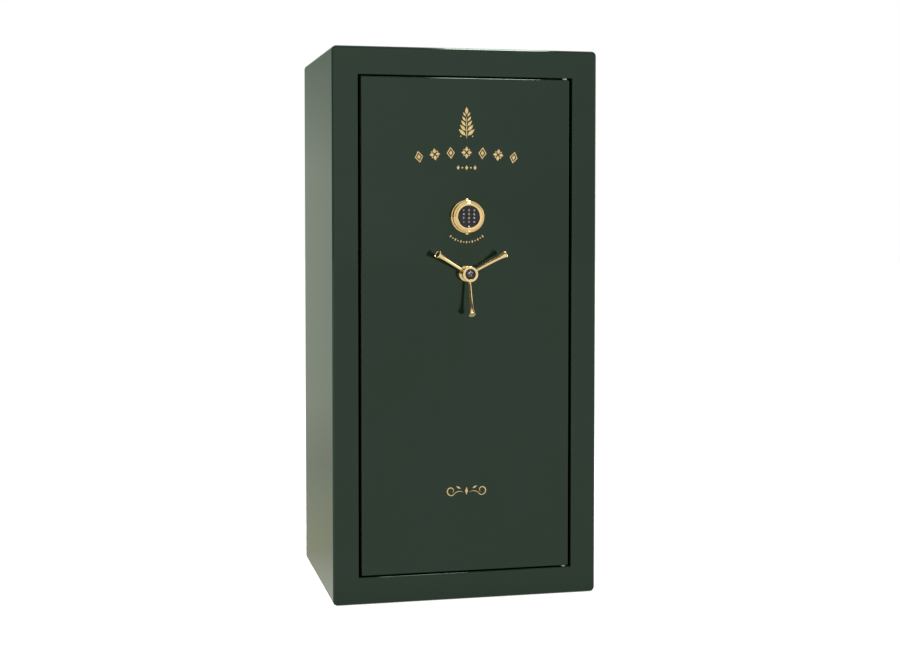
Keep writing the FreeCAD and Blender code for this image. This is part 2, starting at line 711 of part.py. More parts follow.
def door_fireboard():
    """The fireproof board inside the door plate. It stops short of the hinge bushes."""
    inset = "door_return_wall + door_board_gap"
    board = box("DoorBoardBlank", ("0 - door_x + " + inset, "pivot_x - 2 * hinge_pin"),
                ("front + door_plate_wall", "chassis_front"),
                ("door_low + " + inset, "door_high - (%s)" % inset))
    spindle_hole = cylinder("BoardSpindleHole", "y", "spindle_bush_radius", "front", "chassis_front + 1",
                            x="0", z="handle_height")
    cable_hole = cylinder("BoardCableHole", "y", "cable_hole", "front", "chassis_front + 1",
                          x="0", z="keypad_height")
    return cut("DoorFireboard", board, [spindle_hole, cable_hole])


SIDE_BOLTS = 4


def side_bolt_level(number):
    span = "(door_high - door_low - 2 * bolt_margin)"
    return "door_low + bolt_margin + %d * %s / %d" % (number, span, SIDE_BOLTS - 1)


def door_chassis():
    """The case that carries the boltwork: a flanged tray with a hole for every bolt."""
    body = new_body("door_chassis")
    flange = facing(body, "chassis_front")
    rectangle(flange, "0 - door_x + flange_inset", "door_x - flange_inset",
              "door_low + flange_inset", "door_high - flange_inset")
    pad(body, flange, "chassis_wall")
    tray = facing(body, "lock_front")
    rectangle(tray, "0 - chassis_x", "chassis_x", "chassis_low", "chassis_high")
    pad(body, tray, "chassis_depth - chassis_wall")
    inner = facing(body, "chassis_back")
    rectangle(inner, "0 - chassis_x + chassis_wall", "chassis_x - chassis_wall",
              "chassis_low + chassis_wall", "chassis_high - chassis_wall")
    pocket(body, inner, "chassis_depth - chassis_wall", reverse=True)
    holes = facing(body, "chassis_front")
    circle(holes, "0", "handle_height", "spindle_bush_radius")
    circle(holes, "0", "keypad_height", "cable_hole")
    pocket(body, holes, "chassis_wall")
    side_holes = sketch(body, "YZ")
    for number in range(SIDE_BOLTS):
        circle(side_holes, "bolt_y", side_bolt_level(number), "bolt_radius + bolt_play")
    pocket(body, side_holes, "2 * half_width", both_ways=True)
    end_holes = sketch(body, "XY")
    for side in (-1, 1):
        circle(end_holes, "%d * end_bolt_reach" % side, "bolt_y", "bolt_radius + bolt_play")
    pocket(body, end_holes, reverse=True)
    return body


def hinge_bushes():
    bushes = []
    for name, low, high in (("TopBush", "door_high - bush_length", "door_high"),
                            ("BottomBush", "door_low", "door_low + bush_length")):
        tube = cylinder(name + "Tube", "z", "bush_radius", low, high, x="pivot_x", y="pivot_y")
        bore = cylinder(name + "Bore", "z", "hinge_pin + hinge_play", low, high, x="pivot_x", y="pivot_y")
        bushes.append(cut(name, tube, [bore]))
    return group("HingeBushes", bushes)


def door_trim():
    edge = "chassis_x - trim_inset"
    return box("DoorTrim", ("0 - (%s)" % edge, edge), ("chassis_back", "trim_back"),
               ("chassis_low + trim_inset", "chassis_high - trim_inset"))


def turned(label, centre_z, profile):
    """A turned piece on an axis that runs front to back. The profile is (depth, radius) pairs."""
    body = new_body(label)
    item = sketch(body, "YZ", shift_y=centre_z)
    outline(item, profile)
    revolve(body, item)
    return body


def ring_edge(edge, radius, depth):
    """True for a circle of this radius round a front-to-back axis at this depth."""
    return spans(edge, "y", depth) and hasattr(edge.Curve, "Radius") and \
        abs(edge.Curve.Radius - size(radius)) < 0.01


def spindle_bush():
    return turned("spindle_bush", "handle_height", [
        ("front", "spindle_radius + spindle_play"),
        ("lock_front", "spindle_radius + spindle_play"),
        ("lock_front", "spindle_bush_radius"),
        ("front", "spindle_bush_radius"),
    ])


def handle_rosette():
    body = turned("handle_rosette", "handle_height", [
        ("front", "spindle_radius + rosette_play"),
        ("front", "rosette_radius"),
        ("front - rosette_proud * 0.4", "rosette_radius"),
        ("front - rosette_proud", "rosette_radius - rosette_proud * 0.6"),
        ("front - rosette_proud", "spindle_radius + rosette_play"),
    ])
    soften(body, "Fillet", "rosette_proud * 0.2",
           lambda edge: ring_edge(edge, "rosette_radius - rosette_proud * 0.6", "front - rosette_proud"))
    return body


def lock_case():
    """An open tray with the swing bolt's pin in it and its top end open where the bolt swings out."""
    body = new_body("lock_case")
    tray = facing(body, "lock_front")
    rectangle(tray, "0 - lock_half", "lock_half", "lock_low", "lock_high")
    pad(body, tray, "lock_depth")
    soften(body, "Fillet", "lock_wall", lambda edge: runs(edge, "y"))
    inner = facing(body, "lock_back")
    rectangle(inner, "0 - lock_half + lock_wall", "lock_half - lock_wall",
              "lock_low + lock_wall", "lock_high - lock_wall")
    pocket(body, inner, "lock_depth - lock_wall", reverse=True)
    mouth = facing(body, "lock_back")
    rectangle(mouth, "0 - lock_half + 2 * lock_wall", "lock_half - 2 * lock_wall",
              "lock_high - 2 * lock_wall", "lock_high + 1")
    pocket(body, mouth, "lock_depth - lock_wall", reverse=True)
    cable = facing(body, "lock_front")
    circle(cable, "0", "keypad_height", "cable_hole")
    pocket(body, cable, "lock_wall")
    pin = facing(body, "lock_front + lock_wall")
    circle(pin, "0 - swing_left", "lock_high - swing_drop", "swing_pin")
    pad(body, pin, "lock_depth - lock_wall")
    return body


def keypad_base():
    """The flange on the door, with a small tab at top and bottom that locates the bezel."""
    body = turned("keypad_base", "keypad_height", [
        ("front", "bezel_radius - bezel_wall"),
        ("front", "keypad_flange"),
        ("front - flange_proud * 0.6", "keypad_flange"),
        ("front - flange_proud", "keypad_flange - flange_proud * 0.25"),
        ("front - flange_proud", "bezel_radius - bezel_wall"),
    ])
    for side in (-1, 1):
        tab = facing(body, "front - flange_proud * 0.7", centre_z="keypad_height")
        edge = "%d * keypad_flange" % side
        rectangle(tab, "0 - tab_wide / 2", "tab_wide / 2", edge + " - tab_reach", edge + " + tab_reach")
        pad(body, tab, "flange_proud * 0.7")
    return body


def keypad_bezel():
    """The stepped ring in front of the base. It holds the face and keeps its keys in."""
    skirt = "bezel_radius - bezel_step"
    groove = "bezel_radius - groove_deep"
    back = "front - bezel_proud + groove_front + groove_long"
    return turned("keypad_bezel", "keypad_height", [
        ("front - flange_proud", "bezel_radius - bezel_wall"),
        ("front - flange_proud", skirt),
        (back, skirt),
        (back + " - bezel_edge", groove),
        ("front - bezel_proud + groove_front + bezel_edge", groove),
        ("front - bezel_proud + groove_front", "bezel_radius"),
        ("front - bezel_proud + bezel_edge", "bezel_radius"),
        ("front - bezel_proud", "bezel_radius - bezel_edge"),
        ("front - bezel_proud", "face_radius + ring_lip + ring_slope"),
        ("face_front", "face_radius + ring_lip"),
        ("face_front", "face_radius"),
        ("face_back", "face_radius"),
        ("face_back", "bezel_radius - bezel_wall"),
    ])


KEY_ROWS = 4
KEY_COLUMNS = 3
KEY_NAMES = ["1", "2", "3", "4", "5", "6", "7", "8", "9", "star", "0", "hash"]


def key_place(index):
    """A key's middle, across from the keypad's middle and up from the floor."""
    column = index % KEY_COLUMNS - 1
    row = 1.5 - index // KEY_COLUMNS
    return "%d * key_pitch_x" % column, "keypad_height + key_rise + %s * key_pitch_z" % row


LAMP_LEVEL = "keypad_height - face_radius + lamp_inset"


def keypad_face():
    """The face plate, with a window for each key and a hole for the lamp."""
    body = new_body("keypad_face")
    disc = facing(body, "face_front")
    circle(disc, "0", "keypad_height", "face_radius")
    pad(body, disc, "face_plate")
    windows = facing(body, "face_front")
    for index in range(KEY_ROWS * KEY_COLUMNS):
        across, up = key_place(index)
        rectangle(windows, "%s - key_wide / 2 - key_play" % across, "%s + key_wide / 2 + key_play" % across,
                  "%s - key_tall / 2 - key_play" % up, "%s + key_tall / 2 + key_play" % up)
    circle(windows, "0", LAMP_LEVEL, "lamp_radius")
    pocket(body, windows, "face_plate")
    return body


def key(index):
    """One key: a button with a thin flange behind the face that keeps it in."""
    body = new_body("key_" + KEY_NAMES[index])
    across, up = key_place(index)
    half_wide = "key_wide / 2"
    half_tall = "key_tall / 2"
    button = facing(body, "face_front - key_proud")
    rectangle(button, "%s - %s" % (across, half_wide), "%s + %s" % (across, half_wide),
              "%s - %s" % (up, half_tall), "%s + %s" % (up, half_tall))
    pad(body, button, "key_proud + face_plate + key_gap")
    soften(body, "Fillet", "key_corner", lambda edge: runs(edge, "y"))
    soften(body, "Fillet", "key_edge", lambda edge: spans(edge, "y", "face_front - key_proud"))
    flange = facing(body, "face_back + key_gap")
    rectangle(flange, "%s - %s - key_flange" % (across, half_wide),
              "%s + %s + key_flange" % (across, half_wide),
              "%s - %s - key_flange" % (up, half_tall), "%s + %s + key_flange" % (up, half_tall))
    pad(body, flange, "key_flange")
    return body


def keypad_inside():
    """Lamp, circuit board, battery and the cable through the door to the lock."""
    node(cylinder("LedLens", "y", "lamp_radius", "face_front - 0.6", "face_back + 1", x="0", z=LAMP_LEVEL),
         "led_lens")
    board_front = "face_back + 0.1 + key_flange + key_travel + 0.2"
    board_back = board_front + " + board_thick"
    node(cylinder("KeypadBoard", "y", "bezel_radius - bezel_wall - 3", board_front, board_back,
                  x="0", z="keypad_height"), "keypad_board")
    node(box("Battery", ("0 - battery_long / 2", "battery_long / 2"),
             ("front - battery_deep - 1", "front - 1"),
             ("keypad_height - battery_drop - battery_high", "keypad_height - battery_drop")), "battery")
    node(cylinder("LockCable", "y", "cable_radius", board_back, "lock_front + lock_wall + 4",
                  x="0", z="keypad_height"), "lock_cable")


# ------------------------------------------------------------------------------- handle and boltwork

def handle_hub():
    """The hub, flared at its front, with a seat for the cap and a socket for the spindle."""
    back = "front - rosette_proud - hub_play"
    front = "front - hub_proud"
    body = turned("HubBlank", "handle_height", [
        (back, "spindle_radius"),
        (back, "hub_waist + hub_lip"),
        (back + " - hub_foot", "hub_waist + hub_lip"),
        (back + " - hub_foot - hub_slope", "hub_waist"),
        (front + " + flare_low", "hub_waist"),
        (front + " + flare_high", "hub_radius"),
        (front + " + hub_edge", "hub_radius"),
        (front, "hub_radius - hub_edge"),
        (front, "cap_radius + cap_lead"),
        (front + " + cap_lead", "cap_radius"),
        (front + " + cap_seat", "cap_radius"),
        (front + " + cap_seat", "0"),
        (front + " + socket_floor", "0"),
        (front + " + socket_floor", "spindle_radius"),
    ])
    return body


def handle_cap():
    front = "front - hub_proud"
    body = turned("handle_cap", "handle_height", [
        (front + " + cap_seat", "0"),
        (front + " + cap_seat", "cap_radius"),
        (front + " + cap_slope", "cap_radius"),
        (front, "cap_radius - cap_rim"),
        (front, "0"),
    ])
    return body


SPOKE_ANGLES = (30, 150, 270)
SPOKE_DISH = 1.1


def handle_spokes():
    """Three turned spokes, flared and slightly dished at their ends, raked away from the door."""
    rise = size("spoke_tip_proud - spoke_root_proud")
    start_radius = size("spindle_radius + 2.5")
    run = size("spoke_reach") - start_radius
    length = math.hypot(rise, run)
    neck = size("spoke_neck")
    end = size("spoke_end")
    start = Part.makePolygon([FreeCAD.Vector(), FreeCAD.Vector(0, neck, 0),
                              FreeCAD.Vector(length * 0.3, neck, 0)])
    flare = Part.BSplineCurve()
    flare.interpolate([FreeCAD.Vector(length * 0.3, neck, 0), FreeCAD.Vector(length * 0.65, neck * 1.25, 0),
                       FreeCAD.Vector(length * 0.87, neck * 1.65, 0),
                       FreeCAD.Vector(length - 2, end - 0.5, 0)])
    rim = FreeCAD.Vector(length + 0.5, end - 1, 0)
    lip = Part.Arc(FreeCAD.Vector(length - 2, end - 0.5, 0), FreeCAD.Vector(length - 0.6, end, 0), rim)
    dish_radius = (rim.y ** 2 + SPOKE_DISH ** 2) / (2 * SPOKE_DISH)
    bottom = FreeCAD.Vector(rim.x - SPOKE_DISH, 0, 0)
    half_turn = math.asin(rim.y / dish_radius) / 2
    middle = bottom + FreeCAD.Vector(dish_radius * (1 - math.cos(half_turn)),
                                     dish_radius * math.sin(half_turn), 0)
    dish = Part.Arc(rim, middle, bottom)
    close = Part.LineSegment(bottom, FreeCAD.Vector())
    wire = Part.Wire(start.Edges + [flare.toShape(), lip.toShape(), dish.toShape(), close.toShape()])
    spoke = Part.Face(wire).revolve(FreeCAD.Vector(), FreeCAD.Vector(1, 0, 0), 360)
    hub = FreeCAD.Vector(0, size("front - spoke_root_proud"), size("handle_height"))
    spokes = []
    for angle in SPOKE_ANGLES:
        turn = FreeCAD.Rotation(FreeCAD.Vector(0, -1, 0), angle)
        rake = FreeCAD.Rotation(FreeCAD.Vector(0, 0, 1), -math.degrees(math.atan2(rise, run)))
        direction = turn.multVec(FreeCAD.Vector(1, 0, 0))
        spokes.append(spoke.transformed(
            FreeCAD.Placement(hub + direction * start_radius, turn * rake).toMatrix()))
    item = doc.addObject("Part::Feature", "HandleSpokes")
    item.Shape = Part.makeCompound(spokes)
    return item


def spindle():
    hub_seat = "front - hub_proud + 14"
    return turned("spindle", "handle_height", [
        (hub_seat, "0"),
        (hub_seat, "spindle_radius"),
        ("cam_front", "spindle_radius"),
        ("cam_front", "spindle_nose"),
        ("cam_back", "spindle_nose"),
        ("cam_back", "0"),
    ])


CAM_STARTS = (0, 90, 180, 270)
SLOT_STEPS = 8


def slot_cutter(start, half_width):
    """A spiral slot whose radius grows evenly with the angle, by the bolt throw over one full swing."""
    inner = size("cam_pin_start")
    throw = size("bolt_throw")
    swing = size("handle_swing")
    thickness = size("cam_plate")

    def spot(share, offset):
        radius = inner + throw * share
        angle = math.radians(start - swing * share)
        outward = FreeCAD.Vector(math.cos(angle), 0, math.sin(angle))
        along = FreeCAD.Vector(math.sin(angle), 0, -math.cos(angle)) * radius
        along += outward * (throw / math.radians(swing))
        normal = FreeCAD.Vector(along.z, 0, -along.x)
        normal.normalize()
        return outward * radius + normal * offset

    sides = []
    for offset in (half_width, -half_width):
        curve = Part.BSplineCurve()
        curve.interpolate([spot(step / SLOT_STEPS, offset) for step in range(SLOT_STEPS + 1)])
        sides.append(curve.toShape())
    ends = [Part.makeLine(spot(share, half_width), spot(share, -half_width)) for share in (0, 1)]
    wire = Part.Wire(Part.__sortEdges__(sides + ends))
    solids = [Part.Face(wire).extrude(FreeCAD.Vector(0, thickness, 0))]
    for share in (0, 1):
        solids.append(Part.makeCylinder(half_width, thickness, spot(share, 0), FreeCAD.Vector(0, 1, 0)))
    return solids[0].multiFuse(solids[1:])


def cam():
    """The disc on the spindle. Each bolt bar's pin runs in one of its four spiral slots."""
    half_width = size("cam_pin + cam_play")
    disc = Part.makeCylinder(size("cam_radius"), size("cam_plate"), FreeCAD.Vector(), FreeCAD.Vector(0, 1, 0))
    bore = Part.makeCylinder(size("spindle_nose"), size("cam_plate"),
                             FreeCAD.Vector(), FreeCAD.Vector(0, 1, 0))
    cutters = [bore] + [slot_cutter(start, half_width) for start in CAM_STARTS]
    item = doc.addObject("Part::Feature", "Cam")
    item.Shape = disc.cut(cutters)
    item.setExpression("Placement.Base.y", named("cam_front"))
    item.setExpression("Placement.Base.z", named("handle_height"))
    return item


def bar_pin(body, across, up):
    """The pin that stands forward from a bar's arm into the cam."""
    item = facing(body, "cam_front + 0.5")
    circle(item, across, up, "cam_pin")
    pad(body, item, "arm_front - cam_front - 0.5")


def side_bar(label, side):
    """A bar for the side bolts, with its arm to the cam. side is -1 on the left, 1 on the right."""
    body = new_body(label)

    def across(near, far):
        ends = ("%d * (%s)" % (side, near), "%d * (%s)" % (side, far))
        return ends if side > 0 else ends[::-1]

    arm = facing(body, "arm_front")
    rectangle(arm, *across("arm_start", "bar_x"), "handle_height - arm_half", "handle_height + arm_half")
    pad(body, arm, "arm_plate")
    strip = facing(body, "arm_front")
    rectangle(strip, *across("bar_x - bar_plate", "bar_x"),
              side_bolt_level(0) + " - 2 * bolt_radius",
              side_bolt_level(SIDE_BOLTS - 1) + " + 2 * bolt_radius")
    pad(body, strip, "bar_back - arm_front")
    bar_pin(body, "%d * cam_pin_start" % side, "handle_height")
    return body


def end_bar_strip(body, low):
    strip = facing(body, "arm_front")
    rectangle(strip, "0 - end_bolt_reach - 2 * bolt_radius", "end_bolt_reach + 2 * bolt_radius",
              low, "%s + bar_plate" % low)
    pad(body, strip, "bar_back - arm_front")


def top_bar():
    """The top bar. Its link passes beside the lock, and a finger on it lies over the lock's bolt."""
    body = new_body("top_bolt_bar")
    finger_low = "lock_high + finger_gap"
    link = facing(body, "arm_front")
    outline(link, [
        ("0 - 12", "handle_height + arm_start"),
        ("link_far", "handle_height + arm_start"),
        ("link_far", "bar_high"),
        ("link_near", "bar_high"),
        ("link_near", "%s + finger_high" % finger_low),
        ("0 - 20", "%s + finger_high" % finger_low),
        ("0 - 20", finger_low),
        ("link_near", finger_low),
        ("link_near", "handle_height + arm_start + 28"),
        ("0 - 12", "handle_height + arm_start + 28"),
    ])
    pad(body, link, "arm_plate")
    end_bar_strip(body, "bar_high - bar_plate")
    bar_pin(body, "0", "handle_height + cam_pin_start")
    return body


def bottom_bar():
    body = new_body("bottom_bolt_bar")
    link = facing(body, "arm_front")
    rectangle(link, "0 - 12", "12", "bar_low", "handle_height - arm_start")
    pad(body, link, "arm_plate")
    end_bar_strip(body, "bar_low")
    bar_pin(body, "0", "handle_height - cam_pin_start")
    return body


def bolts(label, plane, start, end, spots):
    """A row of bolts from a bar's face to just outside the boltwork case."""
    body = new_body(label)
    item = sketch(body, plane, start)
    for across, up in spots:
        circle(item, across, up, "bolt_radius")
    outward = size(end) > size(start)
    length = "(%s) - (%s)" % ((end, start) if outward else (start, end))
    pad(body, item, length, reverse=not outward)
    axis = "x" if plane == "YZ" else "z"
    soften(body, "Chamfer", "bolt_chamfer", lambda edge: spans(edge, axis, end))
    return body


def boltwork():
    """Four bars, each with its own bolts."""
    side_spots = [("bolt_y", side_bolt_level(number)) for number in range(SIDE_BOLTS)]
    end_spots = [("%d * end_bolt_reach" % side, "bolt_y") for side in (-1, 1)]
    node(side_bar("left_bolt_bar", -1), "left_bolt_bar")
    node(side_bar("right_bolt_bar", 1), "right_bolt_bar")
    node(top_bar(), "top_bolt_bar")
    node(bottom_bar(), "bottom_bolt_bar")
    node(bolts("left_bolts", "YZ", "0 - bar_x", "0 - chassis_x - bolt_proud", side_spots), "left_bolts")
    node(bolts("right_bolts", "YZ", "bar_x", "chassis_x + bolt_proud", side_spots), "right_bolts")
    node(bolts("top_bolts", "XY", "bar_high", "chassis_high + bolt_proud", end_spots), "top_bolts")
    node(bolts("bottom_bolts", "XY", "bar_low", "chassis_low - bolt_proud", end_spots), "bottom_bolts")


def swing_bolt():
    """The lock's own bolt: a round-ended lever that swings up out of the case."""
    body = new_body("swing_bolt")
    start = "lock_front + lock_wall + 1"
    pin_x = "0 - swing_left"
    level = "lock_high - swing_drop"
    for across in (pin_x, "%s + swing_reach" % pin_x):
        end = facing(body, start)
        circle(end, across, level, "swing_half")
        pad(body, end, "swing_plate")
    middle = facing(body, start)
    rectangle(middle, pin_x, "%s + swing_reach" % pin_x, "%s - swing_half" % level, "%s + swing_half" % level)
    pad(body, middle, "swing_plate")
    bore = facing(body, start)
    circle(bore, pin_x, level, "swing_pin + spindle_play")
    pocket(body, bore, "swing_plate")
    return body


# ------------------------------------------------------------------------------------ the whole safe

node(body_shell(), "body_shell")
node(front_frame(), "front_frame")
node(back_plate(), "back_plate")
linings()
furniture()
node(barrel_rest(), "barrel_rest")
node(door_seal(), "door_seal")
node(hinge_pivots(), "hinge_pivots")

node(door_plate(), "door_plate")
node(door_fireboard(), "door_fireboard")
node(door_chassis(), "door_chassis")
node(hinge_bushes(), "hinge_bushes")
node(door_trim(), "door_trim")
node(spindle_bush(), "spindle_bush")
node(handle_rosette(), "handle_rosette")
node(lock_case(), "lock_case")
node(box("LockCover", ("0 - lock_half", "lock_half"), ("lock_back", "lock_back + lock_lid"),
         ("lock_low", "lock_high")), "lock_cover")
node(keypad_base(), "keypad_base")
node(keypad_bezel(), "keypad_bezel")
node(keypad_face(), "keypad_face")
keypad_inside()
for index in range(len(KEY_NAMES)):
    node(key(index), "key_" + KEY_NAMES[index])

spokes = node(handle_spokes(), "handle_spokes")
node(cut("HandleHub", handle_hub(), [spokes]), "handle_hub")
node(handle_cap(), "handle_cap")
node(spindle(), "spindle")
node(cam(), "cam")
boltwork()
node(swing_bolt(), "swing_bolt")

doc.recompute()
for item in doc.Objects:
    if "Invalid" in item.State or "Error" in item.State:
        raise RuntimeError("%s did not build: %s" % (item.Label, item.State))
for item in NODES:
    if item.Shape.isNull() or not item.Shape.isValid() or not item.Shape.Solids:
        raise RuntimeError("%s has no valid solid" % item.Label)

os.makedirs("parts", exist_ok=True)
for item in NODES:
    item.Shape.exportStep("parts/%s.step" % item.Label)
print("%d sub-parts written" % len(NODES))
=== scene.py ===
"""A steel gun safe in dark green enamel with polished brass hardware.

The packed model is the fixed frame: its plates, boards, bolts and boltwork are shown as they are, with
finishes of their own. The brass, the keys, the carpeted boards, the seal and the gold ornament are
modelled here. Everything is in metres, with the door facing -Y and +Z up.
"""

import json
import math

import bmesh
import bpy
from mathutils import Matrix, Vector

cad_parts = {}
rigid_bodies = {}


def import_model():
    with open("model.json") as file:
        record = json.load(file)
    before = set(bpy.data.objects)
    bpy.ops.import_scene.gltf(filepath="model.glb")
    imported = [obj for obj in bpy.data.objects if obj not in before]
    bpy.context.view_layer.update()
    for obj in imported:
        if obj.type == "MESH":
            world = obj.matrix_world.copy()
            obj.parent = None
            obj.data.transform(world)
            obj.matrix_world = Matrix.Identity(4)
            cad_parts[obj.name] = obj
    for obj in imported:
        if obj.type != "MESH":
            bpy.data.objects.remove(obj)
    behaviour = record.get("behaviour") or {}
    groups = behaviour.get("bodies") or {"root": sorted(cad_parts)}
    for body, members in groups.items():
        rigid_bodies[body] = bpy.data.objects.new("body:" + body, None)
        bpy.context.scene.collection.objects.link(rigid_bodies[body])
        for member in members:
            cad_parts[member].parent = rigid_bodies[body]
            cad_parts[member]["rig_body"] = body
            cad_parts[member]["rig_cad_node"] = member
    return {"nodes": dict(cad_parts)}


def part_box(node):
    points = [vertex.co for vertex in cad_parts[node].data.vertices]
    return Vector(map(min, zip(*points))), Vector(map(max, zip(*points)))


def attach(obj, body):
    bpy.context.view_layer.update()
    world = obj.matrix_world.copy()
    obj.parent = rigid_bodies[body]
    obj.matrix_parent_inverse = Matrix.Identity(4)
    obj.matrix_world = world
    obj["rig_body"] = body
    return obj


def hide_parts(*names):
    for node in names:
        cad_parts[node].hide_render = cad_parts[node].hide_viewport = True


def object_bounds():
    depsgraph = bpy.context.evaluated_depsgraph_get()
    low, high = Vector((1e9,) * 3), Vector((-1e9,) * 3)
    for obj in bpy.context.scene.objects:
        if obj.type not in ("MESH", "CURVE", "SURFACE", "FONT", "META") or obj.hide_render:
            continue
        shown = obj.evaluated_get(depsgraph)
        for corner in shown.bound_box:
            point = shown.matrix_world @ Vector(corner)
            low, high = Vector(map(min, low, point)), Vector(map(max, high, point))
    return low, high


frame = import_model()
CAD_LOW, CAD_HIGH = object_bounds()

bl_info = {
    "name": "Gun Safe",
    "version": (1, 0, 0),
    "blender": (4, 5, 0),
    "location": "View3D > Sidebar > Gun Safe",
    "description": "Brass, keypad, ornament, carpeted lining and finishes of a gun safe",
    "category": "Object",
}

MM = 0.001
FRONT_TURN = math.pi / 2
DOME_TURNS = range(90, -1, -15)
ALONG, ACROSS, FACING = 0.9, 0.1, 0.99


def middle(node):
    low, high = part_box(node)
    return (low + high) / 2


DOOR_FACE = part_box("door_plate")[0].y
HANDLE_AXIS = Vector((0, DOOR_FACE, middle("handle_hub").z))
KEYPAD_AXIS = Vector((0, DOOR_FACE, middle("keypad_bezel").z))
TO_FRONT = Vector((0, -1, 0))
SIDEWAYS = Vector((1, 0, 0))
KEY_DISH = 0.12 * MM
FLOOR_RADIUS = 30
FLOOR_GAP = 0.0002
KEY_LEGENDS = {"star": "*", "hash": "#"}
KEY_NODES = [name for name in sorted(frame["nodes"]) if name.startswith("key_")]


# ------------------------------------------------------------------------------------------- sizes

def length(label, note, value):
    """A distance setting, given in millimetres."""
    return bpy.props.FloatProperty(name=label, description=note, default=value * MM, min=0, precision=5,
                                   subtype="DISTANCE", unit="LENGTH")


def colour(label, note, value):
    return bpy.props.FloatVectorProperty(name=label, description=note, default=value, size=3, min=0, max=1,
                                         subtype="COLOR")


def share(label, note, value):
    return bpy.props.FloatProperty(name=label, description=note, default=value, min=0, max=1,
                                   subtype="FACTOR")


class SafeHandleSettings(bpy.types.PropertyGroup):
    """Sizes of the brass handle. Distances called proud are measured from the door's face."""
    hub_proud: length("Hub proud", "How far the hub's front stands out of the door", 48)
    hub_radius: length("Hub radius", "Radius of the hub at its front", 22)
    hub_waist: length("Hub waist", "Radius of the hub behind its front", 17)
    hub_foot: length("Hub foot", "Radius of the hub's foot beside the plate", 20)
    hub_foot_proud: length("Hub foot proud", "Front of the hub's back face", 6.4)
    plate_radius: length("Plate radius", "Radius of the plate behind the hub", 22)
    plate_proud: length("Plate proud", "Thickness of the plate behind the hub", 6)
    cap_radius: length("Cap radius", "Radius of the black cap in the hub", 14.5)
    spoke_root: length("Spoke root", "Spindle's middle to a spoke's root", 12.5)
    spoke_reach: length("Spoke reach", "Spindle's middle to a spoke's end", 113)
    spoke_root_proud: length("Spoke root proud", "A spoke's root in front of the door", 31)
    spoke_tip_proud: length("Spoke tip proud", "A spoke's end in front of the door", 65)
    spoke_neck: length("Spoke neck", "Radius of a spoke at the hub", 4.8)
    spoke_end: length("Spoke end", "Radius of a spoke's flared end", 11.5)


class SafeKeypadSettings(bpy.types.PropertyGroup):
    """Sizes of the keypad's brass and of its keys."""
    base_radius: length("Base radius", "Radius of the keypad's base", 47.5)
    base_proud: length("Base proud", "Thickness of the keypad's base", 8)
    bezel_radius: length("Bezel radius", "Outside radius of the bezel", 44.5)
    bezel_proud: length("Bezel proud", "How far the bezel stands out of the door", 30)
    bezel_wall: length("Bezel wall", "Wall of the bezel and of its base", 5)
    face_radius: length("Face radius", "Radius of the black face", 30)
    face_recess: length("Face recess", "How far the face sits behind the bezel's front", 3)
    legend_size: length("Legend size", "Height of the lettering on the number keys", 9.0)
    legend_weight: length("Legend weight", "How much the number strokes are thickened", 0.5)
    low_legend_size: length("Low legend size", "Height of the lettering in the bottom row", 7)
    lamp_dome: length("Lamp dome", "How far the lamp's lens stands out of the face", 0.7)


class SafeOrnamentSettings(bpy.types.PropertyGroup):
    """Sizes and places of the gold ornament on the door. Heights are above the floor."""
    film: length("Film", "Thickness of the gold film", 0.12)
    spray_low: length("Spray low", "Foot of the leaf spray", 1287)
    spray_high: length("Spray high", "Tip of the leaf spray", 1375)
    band_height: length("Band height", "Middle of the arched band at its crown", 1249)
    band_reach: length("Band reach", "Door's middle to the last motif of the band", 135)
    band_drop: length("Band drop", "How far the band's ends drop", 13)
    row_height: length("Row height", "Height of the short row under the band", 1207)
    bead_arc: length("Bead arc", "Keypad's middle to the row of beads under it", 71)
    scroll_height: length("Scroll height", "Middle of the low scroll", 306)
    scroll_reach: length("Scroll reach", "Half the length of the low scroll", 57)


class SafeLiningSettings(bpy.types.PropertyGroup):
    """How the carpet goes round the boards inside."""
    edge_round: length("Carpet edge", "Round of the carpet where it is wrapped over a board", 3)
    screw_radius: length("Screw radius", "Radius of the screw cups on the door's panel", 7)
    screw_inset: length("Screw inset", "Screws inside the panel's edge", 22)


class SafeFinishSettings(bpy.types.PropertyGroup):
    """Colours and gloss of the finishes."""
    paint: colour("Paint", "Dark green enamel", (0.0085, 0.0180, 0.0130))
    paint_deep: colour("Paint, deep", "The darker drift in the enamel", (0.0070, 0.0152, 0.0108))
    brass: colour("Brass", "Polished brass", (0.98, 0.75, 0.38))
    gold: colour("Gold film", "Pale gold of the ornament", (0.87, 0.63, 0.27))
    black: colour("Black", "Gloss black of the keypad's face", (0.012, 0.011, 0.012))
    key: colour("Keys", "Satin black of the keys", (0.022, 0.020, 0.022))
    legend: colour("Legends", "Printing on the keys", (0.66, 0.64, 0.63))
    carpet: colour("Carpet", "Short pile inside", (0.30, 0.285, 0.26))
    # The deep carpet colour is painted shade between the tufts.
    carpet_painted_shade: colour("Carpet, painted shade", "Shade between the tufts", (0.13, 0.12, 0.108))
    case: colour("Case", "Powder coat of the boltwork case", (0.085, 0.09, 0.095))
    paint_roughness: share("Enamel gloss", "Roughness of the enamel", 0.05)
    brass_roughness: share("Brass gloss", "Roughness of the polished brass", 0.045)


class SafeStageSettings(bpy.types.PropertyGroup):
    """Camera and studio light."""
    lens: bpy.props.FloatProperty(name="Lens", description="Focal length", default=59.63, min=1,
                                  unit="CAMERA")
    shift: bpy.props.FloatProperty(name="Shift", description="Upright shift of the picture", default=-0.06)
    sky: share("Sky", "Brightness of the studio round the safe", 1.0)
    floor: colour("Floor", "Pale studio floor", (0.90, 0.90, 0.90))


# --------------------------------------------------------------------------------- modelling by hand

def let_go():
    """Leaves edit mode and selects nothing."""
    if bpy.context.object and bpy.context.object.mode != "OBJECT":
        bpy.ops.object.mode_set(mode="OBJECT")
    bpy.ops.object.select_all(action="DESELECT")


def take(obj):
    """Makes obj the only selected and active object."""
    let_go()
    obj.select_set(True)
    bpy.context.view_layer.objects.active = obj


